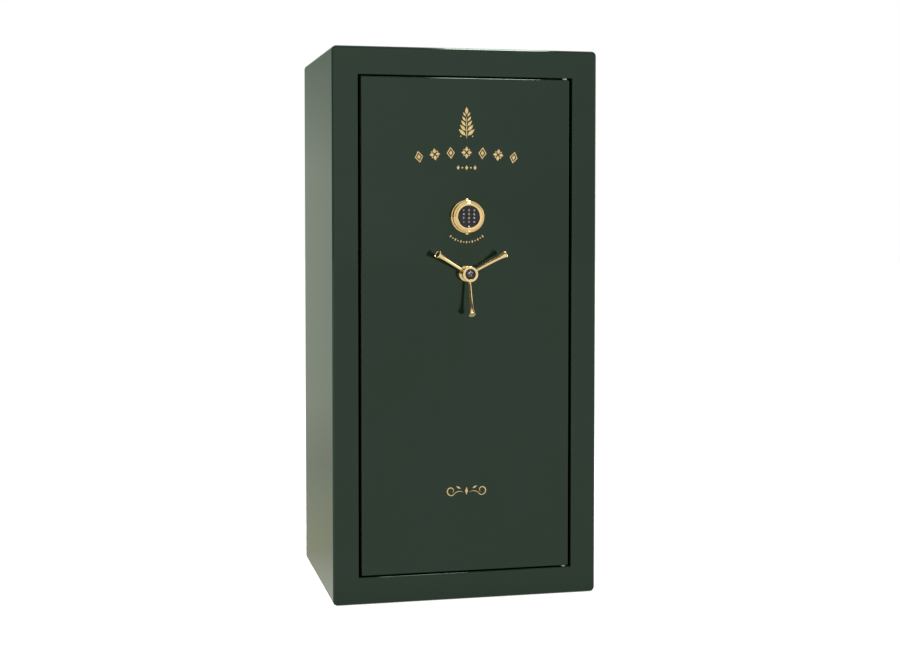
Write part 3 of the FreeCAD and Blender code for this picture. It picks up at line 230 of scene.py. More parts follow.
def settle(obj):
    """Puts the object's place, turn and scale in its mesh."""
    take(obj)
    bpy.ops.object.transform_apply(location=True, rotation=True, scale=True)


def called(name):
    """Names the object that was just added, and its mesh."""
    obj = bpy.context.object
    obj.name = name
    obj.data.name = name
    return obj


def pick(obj, kind, test):
    """In edit mode, selects only the elements that pass the test."""
    bpy.ops.mesh.select_all(action="DESELECT")
    bpy.ops.mesh.select_mode(type=kind)
    mesh = bmesh.from_edit_mesh(obj.data)
    mesh.normal_update()
    for item in {"VERT": mesh.verts, "EDGE": mesh.edges, "FACE": mesh.faces}[kind]:
        item.select_set(bool(test(item)))
    mesh.select_flush_mode()
    bmesh.update_edit_mesh(obj.data)


def edge_line(edge):
    return (edge.verts[1].co - edge.verts[0].co).normalized()


def edge_middle(edge):
    return (edge.verts[0].co + edge.verts[1].co) / 2


def block(name, low, high):
    """A box between two corners, to start a piece from."""
    low, high = Vector(low), Vector(high)
    let_go()
    bpy.ops.mesh.primitive_cube_add(size=1, location=(low + high) / 2, scale=high - low)
    obj = called(name)
    settle(obj)
    return obj


def weld(distance, outward=True):
    """In edit mode, joins points that coincide and turns the faces outward."""
    bpy.ops.mesh.select_all(action="SELECT")
    bpy.ops.mesh.remove_doubles(threshold=distance)
    if outward:
        bpy.ops.mesh.normals_make_consistent(inside=False)


def drawn_line(name, points):
    """One vertex, extruded from point to point."""
    let_go()
    bpy.ops.mesh.primitive_plane_add(size=MM, location=points[0])
    obj = called(name)
    settle(obj)
    bpy.ops.object.mode_set(mode="EDIT")
    bpy.ops.mesh.select_mode(type="VERT")
    bpy.ops.mesh.select_all(action="SELECT")
    bpy.ops.mesh.merge(type="CENTER")
    for start, end in zip(points, points[1:]):
        bpy.ops.mesh.extrude_region_move(TRANSFORM_OT_translate={"value": end - start})
    return obj


def turned(name, profile, origin, axis, steps=96, rounding=0.0):
    """A piece turned on a lathe: (along the axis, radius) pairs are drawn as a line and spun."""
    outward = axis.orthogonal().normalized()
    obj = drawn_line(name, [origin + axis * along + outward * radius for along, radius in profile])
    bpy.ops.mesh.select_all(action="SELECT")
    bpy.ops.mesh.spin(steps=steps, angle=2 * math.pi, center=origin, axis=axis)
    weld(MM / 200)
    bpy.ops.object.mode_set(mode="OBJECT")
    if rounding:
        round_edges(obj, rounding)
    return obj


def arc(along, radius, deep, tall, turns):
    """Points of a lathe profile on an ellipse about (along, radius), at turns in degrees."""
    return [(along + deep * math.cos(math.radians(turn)), radius + tall * math.sin(math.radians(turn)))
            for turn in turns]


def round_edges(obj, width, segments=3, angle=30):
    """A bevel on every edge sharper than the angle."""
    take(obj)
    bevel = obj.modifiers.new("Round", "BEVEL")
    bevel.limit_method = "ANGLE"
    bevel.angle_limit = math.radians(angle)
    bevel.width = width
    bevel.segments = segments
    bevel.use_clamp_overlap = True
    bpy.ops.object.modifier_apply(modifier=bevel.name)


def cut_out(obj, cutter):
    """Cuts one piece out of another and removes it."""
    take(obj)
    cut = obj.modifiers.new("Cut", "BOOLEAN")
    cut.operation = "DIFFERENCE"
    cut.object = cutter
    bpy.ops.object.modifier_apply(modifier=cut.name)
    bpy.data.objects.remove(cutter)


def own_copy(obj, name, place):
    """A copy with its own mesh, moved by a matrix."""
    take(obj)
    bpy.ops.object.duplicate(linked=False)
    twin = called(name)
    twin.data.transform(place)
    return twin


def about(point, turn):
    """The matrix that turns round an axis through the point."""
    return Matrix.Translation(point) @ turn @ Matrix.Translation(-point)


def merged_copy(node, name):
    """A copy of a frame node with its triangles joined into clean flat faces."""
    take(frame["nodes"][node])
    bpy.ops.object.duplicate(linked=False)
    obj = called(name)
    obj.parent = None
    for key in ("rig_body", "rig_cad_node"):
        del obj[key]
    bpy.ops.mesh.customdata_custom_splitnormals_clear()
    bpy.ops.object.mode_set(mode="EDIT")
    weld(MM / 100, outward=False)
    bpy.ops.mesh.dissolve_limited(angle_limit=math.radians(1))
    bpy.ops.object.mode_set(mode="OBJECT")
    return obj


def flat_shapes(name, outlines, thickness):
    """Closed outlines on the door's face, filled, given a thickness and made a mesh.

    An outline is a list of (across, up, corner): a corner is sharp, any other point is smooth.
    """
    let_go()
    bpy.ops.curve.primitive_bezier_curve_add()
    obj = called(name)
    curve = obj.data
    curve.splines.clear()
    curve.dimensions = "2D"
    curve.fill_mode = "BOTH"
    curve.extrude = thickness / 2
    curve.resolution_u = 6
    for outline in outlines:
        spline = curve.splines.new("BEZIER")
        spline.bezier_points.add(len(outline) - 1)
        for point, (across, up, corner) in zip(spline.bezier_points, outline):
            point.co = (across, up, 0)
            point.handle_left_type = point.handle_right_type = "VECTOR" if corner else "AUTO"
        spline.use_cyclic_u = True
    take(obj)
    bpy.ops.object.convert(target="MESH")
    obj = bpy.context.object
    obj.rotation_euler.x = FRONT_TURN
    obj.location.y = DOOR_FACE - thickness / 2
    settle(obj)
    bpy.ops.object.mode_set(mode="EDIT")
    weld(MM / 500)
    bpy.ops.object.mode_set(mode="OBJECT")
    return obj


def fit_out(obj, material, body, stands_for=(), smooth=35):
    """Gives a finished piece its shading, its finish and the body that it moves with."""
    take(obj)
    if smooth:
        bpy.ops.object.shade_smooth_by_angle(angle=math.radians(smooth))
    obj.data.materials.clear()
    obj.data.materials.append(material)
    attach(obj, body)
    if stands_for:
        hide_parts(*stands_for)
    return obj


def wrapped(node, name, edge, body, slot):
    """A frame node with its edges rounded, in the finish of its slot."""
    piece = merged_copy(node, name)
    round_edges(piece, edge, segments=4, angle=50)
    fit_out(piece, finish(slot), body, [node], smooth=50)


# ------------------------------------------------------------------------------------ shader effects

def effect(name, inputs, outputs):
    """A new shader node group with named number inputs and outputs, and its two end nodes."""
    tree = bpy.data.node_groups.new(name, "ShaderNodeTree")
    for label, value in inputs.items():
        tree.interface.new_socket(label, in_out="INPUT", socket_type="NodeSocketFloat").default_value = value
    for label in outputs:
        tree.interface.new_socket(label, in_out="OUTPUT", socket_type="NodeSocketFloat")
    return tree, tree.nodes.new("NodeGroupInput"), tree.nodes.new("NodeGroupOutput")


def put(tree, kind, values=None, **settings):
    """A new node with settings, and with numbers or links in its named inputs."""
    item = tree.nodes.new(kind)
    for label, value in settings.items():
        setattr(item, label, value)
    for label, value in (values or {}).items():
        if isinstance(value, bpy.types.NodeSocket):
            tree.links.new(value, item.inputs[label])
        else:
            item.inputs[label].default_value = value
    return item


def object_place(tree):
    return put(tree, "ShaderNodeTexCoord").outputs["Object"]


def noise(tree, scale, detail=2.0, roughness=0.5, place=None):
    """Cloud noise, on the object's own coordinates unless a place is given."""
    values = {"Vector": place or object_place(tree), "Scale": scale, "Detail": detail, "Roughness": roughness}
    return put(tree, "ShaderNodeTexNoise", values).outputs["Fac"]


def spread(tree, value, low, high, start=0.35, end=0.65):
    """A value between start and end, stretched to run from low to high."""
    return put(tree, "ShaderNodeMapRange", {"Value": value, "From Min": start, "From Max": end,
                                            "To Min": low, "To Max": high}).outputs["Result"]


def drift_effect():
    """Soft cloudy drift, as left by a cloth or by uneven film."""
    tree, given, out = effect("Cloudy Drift", {"Scale": 10.0, "Low": 0.0, "High": 1.0}, ["Value"])
    cloud = noise(tree, given.outputs["Scale"], detail=4.0, roughness=0.6)
    value = spread(tree, cloud, given.outputs["Low"], given.outputs["High"])
    tree.links.new(value, out.inputs["Value"])
    return tree


def pebble_effect():
    """Low rounded bumps: orange peel in enamel, or the skin of a powder coat."""
    tree, given, out = effect("Pebbled Skin", {"Scale": 400.0, "Softness": 0.7}, ["Height"])
    cells = put(tree, "ShaderNodeTexVoronoi", {"Vector": object_place(tree), "Scale": given.outputs["Scale"],
                                               "Smoothness": given.outputs["Softness"]}, feature="SMOOTH_F1")
    tree.links.new(cells.outputs["Distance"], out.inputs["Height"])
    return tree


def pile_effect():
    """Short cut pile: tufts, painted shade between them, and painted lighter and darker patches where the nap
    lies over a wider area.
    """
    tree, given, out = effect("Cut Pile", {"Tuft Scale": 700.0, "Nap Scale": 14.0}, ["Shade", "Height"])
    place = object_place(tree)
    tufts = put(tree, "ShaderNodeTexVoronoi", {"Vector": place, "Scale": given.outputs["Tuft Scale"]})
    fibres = noise(tree, given.outputs["Tuft Scale"], detail=3.0, roughness=0.7, place=place)
    nap = noise(tree, given.outputs["Nap Scale"], detail=3.0, roughness=0.55, place=place)
    raised = put(tree, "ShaderNodeMath", {0: fibres, 1: tufts.outputs["Distance"]}, operation="SUBTRACT")
    height = spread(tree, raised.outputs[0], 0.0, 1.0, -0.5, 0.7)
    # The nap's lighter and darker patches are painted shading, as if light fell on pile lying different ways.
    painted_nap_shading = spread(tree, nap, 0.75, 1.05)
    shade = put(tree, "ShaderNodeMath", {0: height, 1: painted_nap_shading}, operation="MULTIPLY", use_clamp=True)
    tree.links.new(shade.outputs[0], out.inputs["Shade"])
    tree.links.new(height, out.inputs["Height"])
    return tree


def grain_effect():
    """Fine lines along one direction, from rolling, drawing or brushing."""
    inputs = {"Across X": 900.0, "Across Y": 900.0, "Across Z": 12.0}
    tree, given, out = effect("Drawn Grain", inputs, ["Value"])
    across = {axis: given.outputs["Across " + axis] for axis in "XYZ"}
    stretch = put(tree, "ShaderNodeCombineXYZ", across).outputs[0]
    place = put(tree, "ShaderNodeVectorMath", {0: object_place(tree), 1: stretch}, operation="MULTIPLY")
    lines = noise(tree, 1.0, detail=3.0, roughness=0.65, place=place.outputs[0])
    tree.links.new(lines, out.inputs["Value"])
    return tree


def lathe_effect():
    """Very fine rings about an axis that runs front to back at a given height."""
    tree, given, out = effect("Lathe Marks", {"Axis Height": 0.0, "Rings": 900.0}, ["Value"])
    axis = put(tree, "ShaderNodeCombineXYZ", {"Z": given.outputs["Axis Height"]})
    flat = put(tree, "ShaderNodeVectorMath", {0: object_place(tree), 1: (1.0, 0.0, 1.0)},
               operation="MULTIPLY")
    away = put(tree, "ShaderNodeVectorMath", {0: flat.outputs[0], 1: axis.outputs[0]}, operation="DISTANCE")
    rings = put(tree, "ShaderNodeTexNoise", {"W": away.outputs["Value"], "Scale": given.outputs["Rings"],
                                             "Detail": 3.0}, noise_dimensions="1D")
    tree.links.new(rings.outputs["Fac"], out.inputs["Value"])
    return tree


def dust_effect():
    """A film of dust where the surface faces up."""
    tree, given, out = effect("Settled Dust", {"Amount": 0.3, "Scale": 140.0}, ["Mask"])
    up = put(tree, "ShaderNodeSeparateXYZ", {0: put(tree, "ShaderNodeNewGeometry").outputs["Normal"]})
    facing = spread(tree, up.outputs["Z"], 0.0, 1.0, 0.6, 1.0)
    patches = spread(tree, noise(tree, given.outputs["Scale"], detail=6.0, roughness=0.7), 0.4, 1.0)
    both = put(tree, "ShaderNodeMath", {0: facing, 1: patches}, operation="MULTIPLY")
    mask = put(tree, "ShaderNodeMath", {0: both.outputs[0], 1: given.outputs["Amount"]}, operation="MULTIPLY")
    tree.links.new(mask.outputs[0], out.inputs["Mask"])
    return tree


EFFECTS = {}
EFFECT_MAKERS = {"drift": drift_effect, "pebble": pebble_effect, "pile": pile_effect, "grain": grain_effect,
                 "lathe": lathe_effect, "dust": dust_effect}


def apply_effect(tree, kind, output, **values):
    """Places a shared effect in a material with its own values and returns one of its outputs."""
    if kind not in EFFECTS:
        EFFECTS[kind] = EFFECT_MAKERS[kind]()
    item = put(tree, "ShaderNodeGroup", node_tree=EFFECTS[kind])
    for label, value in values.items():
        item.inputs[label.replace("_", " ").title()].default_value = value
    return item.outputs[output]


def drift(tree, scale, **ends):
    return apply_effect(tree, "drift", "Value", scale=scale, **ends)


# ---------------------------------------------------------------------------------------- finishes

def shader(name, values):
    """A material whose Principled BSDF has these values on its own sockets."""
    material = bpy.data.materials.new(name)
    material.use_nodes = True
    surface = material.node_tree.nodes["Principled BSDF"]
    for label, value in values.items():
        surface.inputs[label].default_value = value
    return material, material.node_tree, surface


def whole(rgb):
    return (rgb[0], rgb[1], rgb[2], 1.0)


def blend_colours(tree, factor, first, second):
    mix = put(tree, "ShaderNodeMix", data_type="RGBA")
    tree.links.new(factor, mix.inputs["Factor"])
    for socket, value in ((mix.inputs[6], first), (mix.inputs[7], second)):
        if isinstance(value, bpy.types.NodeSocket):
            tree.links.new(value, socket)
        else:
            socket.default_value = whole(value)
    return mix.outputs[2]


def tint(tree, surface, factor, first, second):
    """Base colour that goes from first to second with the factor."""
    tree.links.new(blend_colours(tree, factor, first, second), surface.inputs["Base Color"])


def roughen(tree, surface, value):
    tree.links.new(value, surface.inputs["Roughness"])


def relief(tree, surface, height, depth, strength=1.0):
    """Small bumps of a given depth in metres."""
    bump = put(tree, "ShaderNodeBump", {"Height": height, "Distance": depth, "Strength": strength})
    tree.links.new(bump.outputs["Normal"], surface.inputs["Normal"])


def pebbled(tree, surface, scale, depth):
    relief(tree, surface, apply_effect(tree, "pebble", "Height", scale=scale), depth)


def shades(name, factor):
    """A colour setting, and the same colour darkened or lightened by a factor."""
    base = getattr(bpy.context.scene.safe_finish, name)
    return base, [part * factor for part in base]


def cloudy(name, colours, cloud, gloss, pebbles=None, values=None):
    """A finish whose colour and gloss drift, with a pebbled skin where one is given.

    gloss is the (scale, low, high) of the roughness, and pebbles are (scale, depth in metres).
    """
    material, tree, surface = shader(name, values or {})
    tint(tree, surface, drift(tree, cloud), *colours)
    scale, low, high = gloss
    roughen(tree, surface, drift(tree, scale, low=low, high=high))
    if pebbles:
        pebbled(tree, surface, *pebbles)
    return material


def enamel():
    """Two greens under a green sheen, with a little dust on top and faint orange peel."""
    look = bpy.context.scene.safe_finish
    material, tree, surface = shader("Dark green enamel", {"Specular Tint": whole((0.74, 1.0, 0.77))})
    film = blend_colours(tree, drift(tree, 3.0), look.paint, look.paint_deep)
    tint(tree, surface, apply_effect(tree, "dust", "Mask", amount=0.05), film, (0.30, 0.31, 0.29))
    gloss = look.paint_roughness
    roughen(tree, surface, drift(tree, 22.0, low=gloss * 0.8, high=gloss * 1.2))
    pebbled(tree, surface, 150.0, 0.0000025)
    return material


def polished_brass(name, axis_height):
    """Brass with lathe marks about an axis at that height."""
    gloss = bpy.context.scene.safe_finish.brass_roughness
    material, tree, surface = shader(name, {"Metallic": 1.0})
    tint(tree, surface, drift(tree, 60.0), *shades("brass", 0.93))
    marks = apply_effect(tree, "lathe", "Value", axis_height=axis_height, rings=2600.0)
    roughen(tree, surface, spread(tree, marks, gloss * 0.7, gloss * 1.3))
    relief(tree, surface, marks, 0.000004)
    return material


def chrome():
    material = cloudy("Chrome plate", ((0.78, 0.79, 0.81), (0.70, 0.71, 0.74)), 70.0, (140.0, 0.06, 0.16),
                      values={"Metallic": 1.0})
    tree = material.node_tree
    grain = apply_effect(tree, "grain", "Value", across_x=60.0, across_y=900.0, across_z=900.0)
    relief(tree, tree.nodes["Principled BSDF"], grain, 0.000006)
    return material


def zinc_plate():
    material, tree, surface = shader("Zinc plated steel", {"Metallic": 1.0})
    grain = apply_effect(tree, "grain", "Value", across_x=700.0, across_y=700.0, across_z=14.0)
    tint(tree, surface, grain, (0.52, 0.52, 0.50), (0.36, 0.36, 0.35))
    roughen(tree, surface, spread(tree, grain, 0.30, 0.48))
    relief(tree, surface, grain, 0.00002)
    return material


def bronze():
    material, tree, surface = shader("Machined bronze", {"Metallic": 1.0})
    tint(tree, surface, drift(tree, 120.0), (0.62, 0.42, 0.20), (0.46, 0.30, 0.14))
    grain = apply_effect(tree, "grain", "Value", across_x=200.0, across_y=200.0, across_z=2400.0)
    roughen(tree, surface, spread(tree, grain, 0.25, 0.42))
    relief(tree, surface, grain, 0.00001)
    return material


def powder_coat():
    material, tree, surface = shader("Grey powder coat", {})
    coat = blend_colours(tree, drift(tree, 12.0), *shades("case", 0.85))
    tint(tree, surface, apply_effect(tree, "dust", "Mask", amount=0.25), coat, (0.30, 0.29, 0.27))
    roughen(tree, surface, drift(tree, 40.0, low=0.42, high=0.54))
    pebbled(tree, surface, 900.0, 0.00004)
    return material


def gypsum_board():
    material, tree, surface = shader("Paper faced board", {"Specular IOR Level": 0.2})
    fibres = noise(tree, 1400.0, detail=4.0, roughness=0.7)
    paper = blend_colours(tree, drift(tree, 9.0), (0.66, 0.64, 0.58), (0.58, 0.56, 0.50))
    tint(tree, surface, spread(tree, fibres, 0.0, 0.25), paper, (0.34, 0.32, 0.28))
    roughen(tree, surface, drift(tree, 30.0, low=0.82, high=0.95))
    relief(tree, surface, fibres, 0.00006)
    return material


def carpet():
    look = bpy.context.scene.safe_finish
    values = {"Specular IOR Level": 0.15, "Sheen Weight": 0.35, "Sheen Roughness": 0.6}
    material, tree, surface = shader("Short pile carpet", values)
    # Colour runs from painted shade between the tufts to the carpet's own colour on the tuft tops, with
    # painted nap shading.
    tint(tree, surface, apply_effect(tree, "pile", "Shade"), look.carpet_painted_shade, look.carpet)
    roughen(tree, surface, drift(tree, 60.0, low=0.86, high=0.98))
    relief(tree, surface, apply_effect(tree, "pile", "Height"), 0.0009)
    return material


def circuit_board():
    material, tree, surface = shader("Solder mask", {"Coat Weight": 0.4, "Coat Roughness": 0.2})
    tracks = put(tree, "ShaderNodeTexBrick", {"Vector": object_place(tree), "Scale": 160.0}, offset=0.5)
    mask = blend_colours(tree, drift(tree, 60.0), (0.03, 0.16, 0.07), (0.02, 0.12, 0.05))
    tint(tree, surface, tracks.outputs["Fac"], mask, (0.05, 0.22, 0.10))
    roughen(tree, surface, drift(tree, 100.0, low=0.3, high=0.45))
    return material


FINISH_MAKERS = {
    "paint": enamel,
    "case_paint": powder_coat,
    "brass": lambda: polished_brass("Polished brass", HANDLE_AXIS.z),
    "keypad_brass": lambda: polished_brass("Polished brass, keypad", KEYPAD_AXIS.z),
    "gold": lambda: cloudy("Gold film", shades("gold", 0.9), 90.0, (240.0, 0.34, 0.48),
                           values={"Metallic": 0.35, "Coat Weight": 0.6, "Coat Roughness": 0.08}),
    "black_gloss": lambda: cloudy("Gloss black", shades("black", 1.5), 80.0, (160.0, 0.16, 0.26),
                                  values={"Specular IOR Level": 0.4}),
    "key_black": lambda: cloudy("Satin key", shades("key", 1.3), 300.0, (500.0, 0.36, 0.48),
                                (4000.0, 0.00001)),
    "legend": lambda: cloudy("Legend ink", shades("legend", 0.85), 900.0, (900.0, 0.45, 0.6)),
    "bolt_chrome": chrome,
    "steel": zinc_plate,
    "bush_bronze": bronze,
    "lock_alloy": lambda: cloudy("Cast alloy", ((0.55, 0.55, 0.56), (0.43, 0.43, 0.44)), 50.0,
                                 (300.0, 0.38, 0.55), (1500.0, 0.00004), {"Metallic": 1.0}),
    "fire_board": gypsum_board,
    "carpet": carpet,
    "seal_rubber": lambda: cloudy("Seal rubber", ((0.018, 0.018, 0.018), (0.030, 0.029, 0.028)), 40.0,
                                  (90.0, 0.62, 0.8), (1800.0, 0.00003), {"Specular IOR Level": 0.4}),
    # The pale colour and faint white glow of the lens are a painted highlight.
    "lamp": lambda: cloudy("Lamp lens", ((0.86, 0.85, 0.82), (0.72, 0.70, 0.67)), 900.0,
                           (1200.0, 0.08, 0.16),
                           values={"Emission Color": (1.0, 0.98, 0.93, 1.0), "Emission Strength": 0.9,
                                   "Coat Weight": 1.0}),
    "board_green": circuit_board,
    "battery_black": lambda: cloudy("Battery sleeve", ((0.03, 0.03, 0.033), (0.045, 0.044, 0.047)), 50.0,
                                    (70.0, 0.25, 0.4), values={"Coat Weight": 0.3}),
}
FINISHES = {}


def finish(name):
    """The material of that name, made the first time that it is asked for."""
    if name not in FINISHES:
        FINISHES[name] = FINISH_MAKERS[name]()
    return FINISHES[name]


# ---------------------------------------------------------------------------------- ornament outlines

def heading(angle):
    """Unit steps along and across a line at an angle from straight up."""
    run = Vector((math.sin(angle), math.cos(angle)))
    return run, Vector((run.y, -run.x))


def away(across, up, reach, angle):
    """The place at a distance from another, at an angle from straight up."""
    return across + reach * math.sin(angle), up + reach * math.cos(angle)


def leaf(across, up, angle, long, wide):
    """A pointed leaf that starts at a point and runs at an angle from straight up."""
    run, sideways = heading(angle)
    start = Vector((across, up))
    fullest = start + run * long * 0.42
    points = [(start, True), (fullest + sideways * wide / 2, False), (start + run * long, True),
              (fullest - sideways * wide / 2, False)]
    return [(point.x, point.y, corner) for point, corner in points]


def lozenge(across, up, angle, long, wide):
    """A diamond about a point, its long way at an angle from straight up."""
    run, sideways = heading(angle)
    offsets = (run * long / 2, sideways * wide / 2, run * -long / 2, sideways * -wide / 2)
    return [(across + offset.x, up + offset.y, True) for offset in offsets]


def dot(across, up, radius):
    quarters = [math.radians(90 * quarter) for quarter in range(4)]
    return [(across + radius * math.cos(turn), up + radius * math.sin(turn), False) for turn in quarters]


def ribbon(centreline, widths):
    """A band of changing width along a line of points, pointed at both ends."""
    ahead, behind = [], []
    for index in range(1, len(centreline) - 1):
        run = (centreline[index + 1] - centreline[index - 1]).normalized()
        side = Vector((-run.y, run.x)) * widths(index / (len(centreline) - 1)) / 2
        ahead.append(centreline[index] + side)
        behind.append(centreline[index] - side)
    start, end = centreline[0], centreline[-1]
    return [(start.x, start.y, True)] + [(point.x, point.y, False) for point in ahead] + \
        [(end.x, end.y, True)] + [(point.x, point.y, False) for point in reversed(behind)]


def leaf_spray(low, high):
    """An upright spray: a stem, pairs of leaves that shorten upwards, and a leaf at the tip."""
    tall = high - low
    stem_share, tip_from, tip_long = 0.74, 0.765, 0.235
    first_pair, pair_gap, shrink = 0.10, 0.15, 0.12
    stem = [Vector((0, low + tall * stem_share * step / 6)) for step in range(7)]
    outlines = [ribbon(stem, lambda along: 2.6 * MM * (1 - 0.5 * along))]
    pairs = 5
    for pair in range(pairs):
        height = low + tall * (first_pair + pair_gap * pair)
        size = 1 - shrink * pair
        for side in (-1, 1):
            outlines.append(leaf(side * 2.6 * MM, height, side * math.radians(48 - 4 * pair),
                                 27 * MM * size, 9.5 * MM * size))
    outlines += [dot(side * 17 * MM, low + tall * 0.08, 1.8 * MM) for side in (-1, 1)]
    outlines.append(leaf(0, low + tall * tip_from, 0, tall * tip_long, 9 * MM))
    return outlines


def quatrefoil(across, up, tilt):
    """Four leaves round a point with a dot in each corner between them."""
    centre_gap = 2.4 * MM
    lengths = (14.5 * MM, 12.5 * MM)
    outlines = []
    for quarter in range(4):
        turn = tilt + math.radians(90 * quarter)
        outlines.append(leaf(*away(across, up, centre_gap, turn), turn, lengths[quarter % 2], 8.6 * MM))
    for quarter in range(4):
        turn = tilt + math.radians(45 + 90 * quarter)
        outlines.append(dot(*away(across, up, 10.5 * MM, turn), 2 * MM))
    return outlines


def framed_lozenge(across, up, tilt):
    """A diamond inside an open diamond."""
    frame_outside, frame_inside, core = 1.0, 0.74, 0.42
    return [lozenge(across, up, tilt, size * 33 * MM, size * 23 * MM)
            for size in (frame_outside, frame_inside, core)]


def arched_band(look):
    """Seven motifs on a shallow arch, alternately quatrefoils and diamonds."""
    radius = (look.band_reach ** 2 + look.band_drop ** 2) / (2 * look.band_drop)
    half_turn = math.asin(look.band_reach / radius)
    outlines = []
    motifs = 7
    for number in range(motifs):
        tilt = half_turn * (2 * number / (motifs - 1) - 1)
        across = radius * math.sin(tilt)
        up = look.band_height - radius * (1 - math.cos(tilt))
        outlines += quatrefoil(across, up, tilt) if number % 2 else framed_lozenge(across, up, tilt)
    return outlines


def short_row(look):
    """A small row of diamonds and dots."""
    outlines = []
    for number in range(-2, 3):
        across = number * 12 * MM
        outlines.append(dot(across, look.row_height, 2.4 * MM) if number % 2
                        else lozenge(across, look.row_height, 0, 13 * MM, 8.5 * MM))
    return outlines


def bead_arc(look):
    """Beads and short bars under the keypad, on an arc about its middle."""
    outlines = []
    count = 13
    first_turn, sweep = -130, 80
    for number in range(count):
        turn = math.radians(first_turn + sweep * number / (count - 1))
        across = look.bead_arc * math.cos(turn)
        up = KEYPAD_AXIS.z + look.bead_arc * math.sin(turn)
        if number % 2:
            outlines.append(dot(across, up, 1.9 * MM))
        else:
            outlines.append(lozenge(across, up, math.pi / 2 - turn, 9 * MM, 5 * MM))
    return outlines


def swelling(along):
    """Width of the scroll's ribbon: blunt at its start and fine at its curled end."""
    return 3.0 * MM * math.sin(math.pi * min(1, 0.12 + along))


def scroll(look):
    """Two mirrored scrolls that curl in at their ends, with leaves and a diamond between."""
    outlines = []
    curl = 13 * MM
    curl_from, curl_sweep, curl_close = -100, 420, 0.72
    steps = 18
    for side in (-1, 1):
        line = []
        for step in range(steps + 1):
            along = step / steps
            turn = math.radians(curl_from + curl_sweep * along)
            size = curl * (1 - curl_close * along)
            line.append(Vector((side * (look.scroll_reach - curl + size * math.cos(turn)),
                                look.scroll_height + size * math.sin(turn))))
        start = Vector((side * 7 * MM, look.scroll_height - 5 * MM))
        lead = [start.lerp(line[0], along) + Vector((0, 7 * MM * math.sin(math.pi * along)))
                for along in (0.0, 0.33, 0.66)]
        outlines.append(ribbon(lead + line, swelling))
        outlines.append(leaf(side * 17 * MM, look.scroll_height + 6 * MM, side * math.radians(62),
                             15 * MM, 4.6 * MM))
    outlines.append(lozenge(0, look.scroll_height - 1 * MM, 0, 22 * MM, 8 * MM))
    return outlines


# --------------------------------------------------------------------------------------- operators

class SAFE_OT_finishes(bpy.types.Operator):
    """Give every plate, board, bolt and bar of the frame its finish"""
    bl_idname = "gun_safe.finishes"
    bl_label = "Finishes"

    def execute(self, context):
        for piece in frame["nodes"].values():
            slot = piece.material_slots[0]
            name = slot.material.name.split(".")[0]
            if name == "brass" and piece.name.startswith("keypad"):
                name = "keypad_brass"
            slot.material = finish(name)
        return {"FINISHED"}


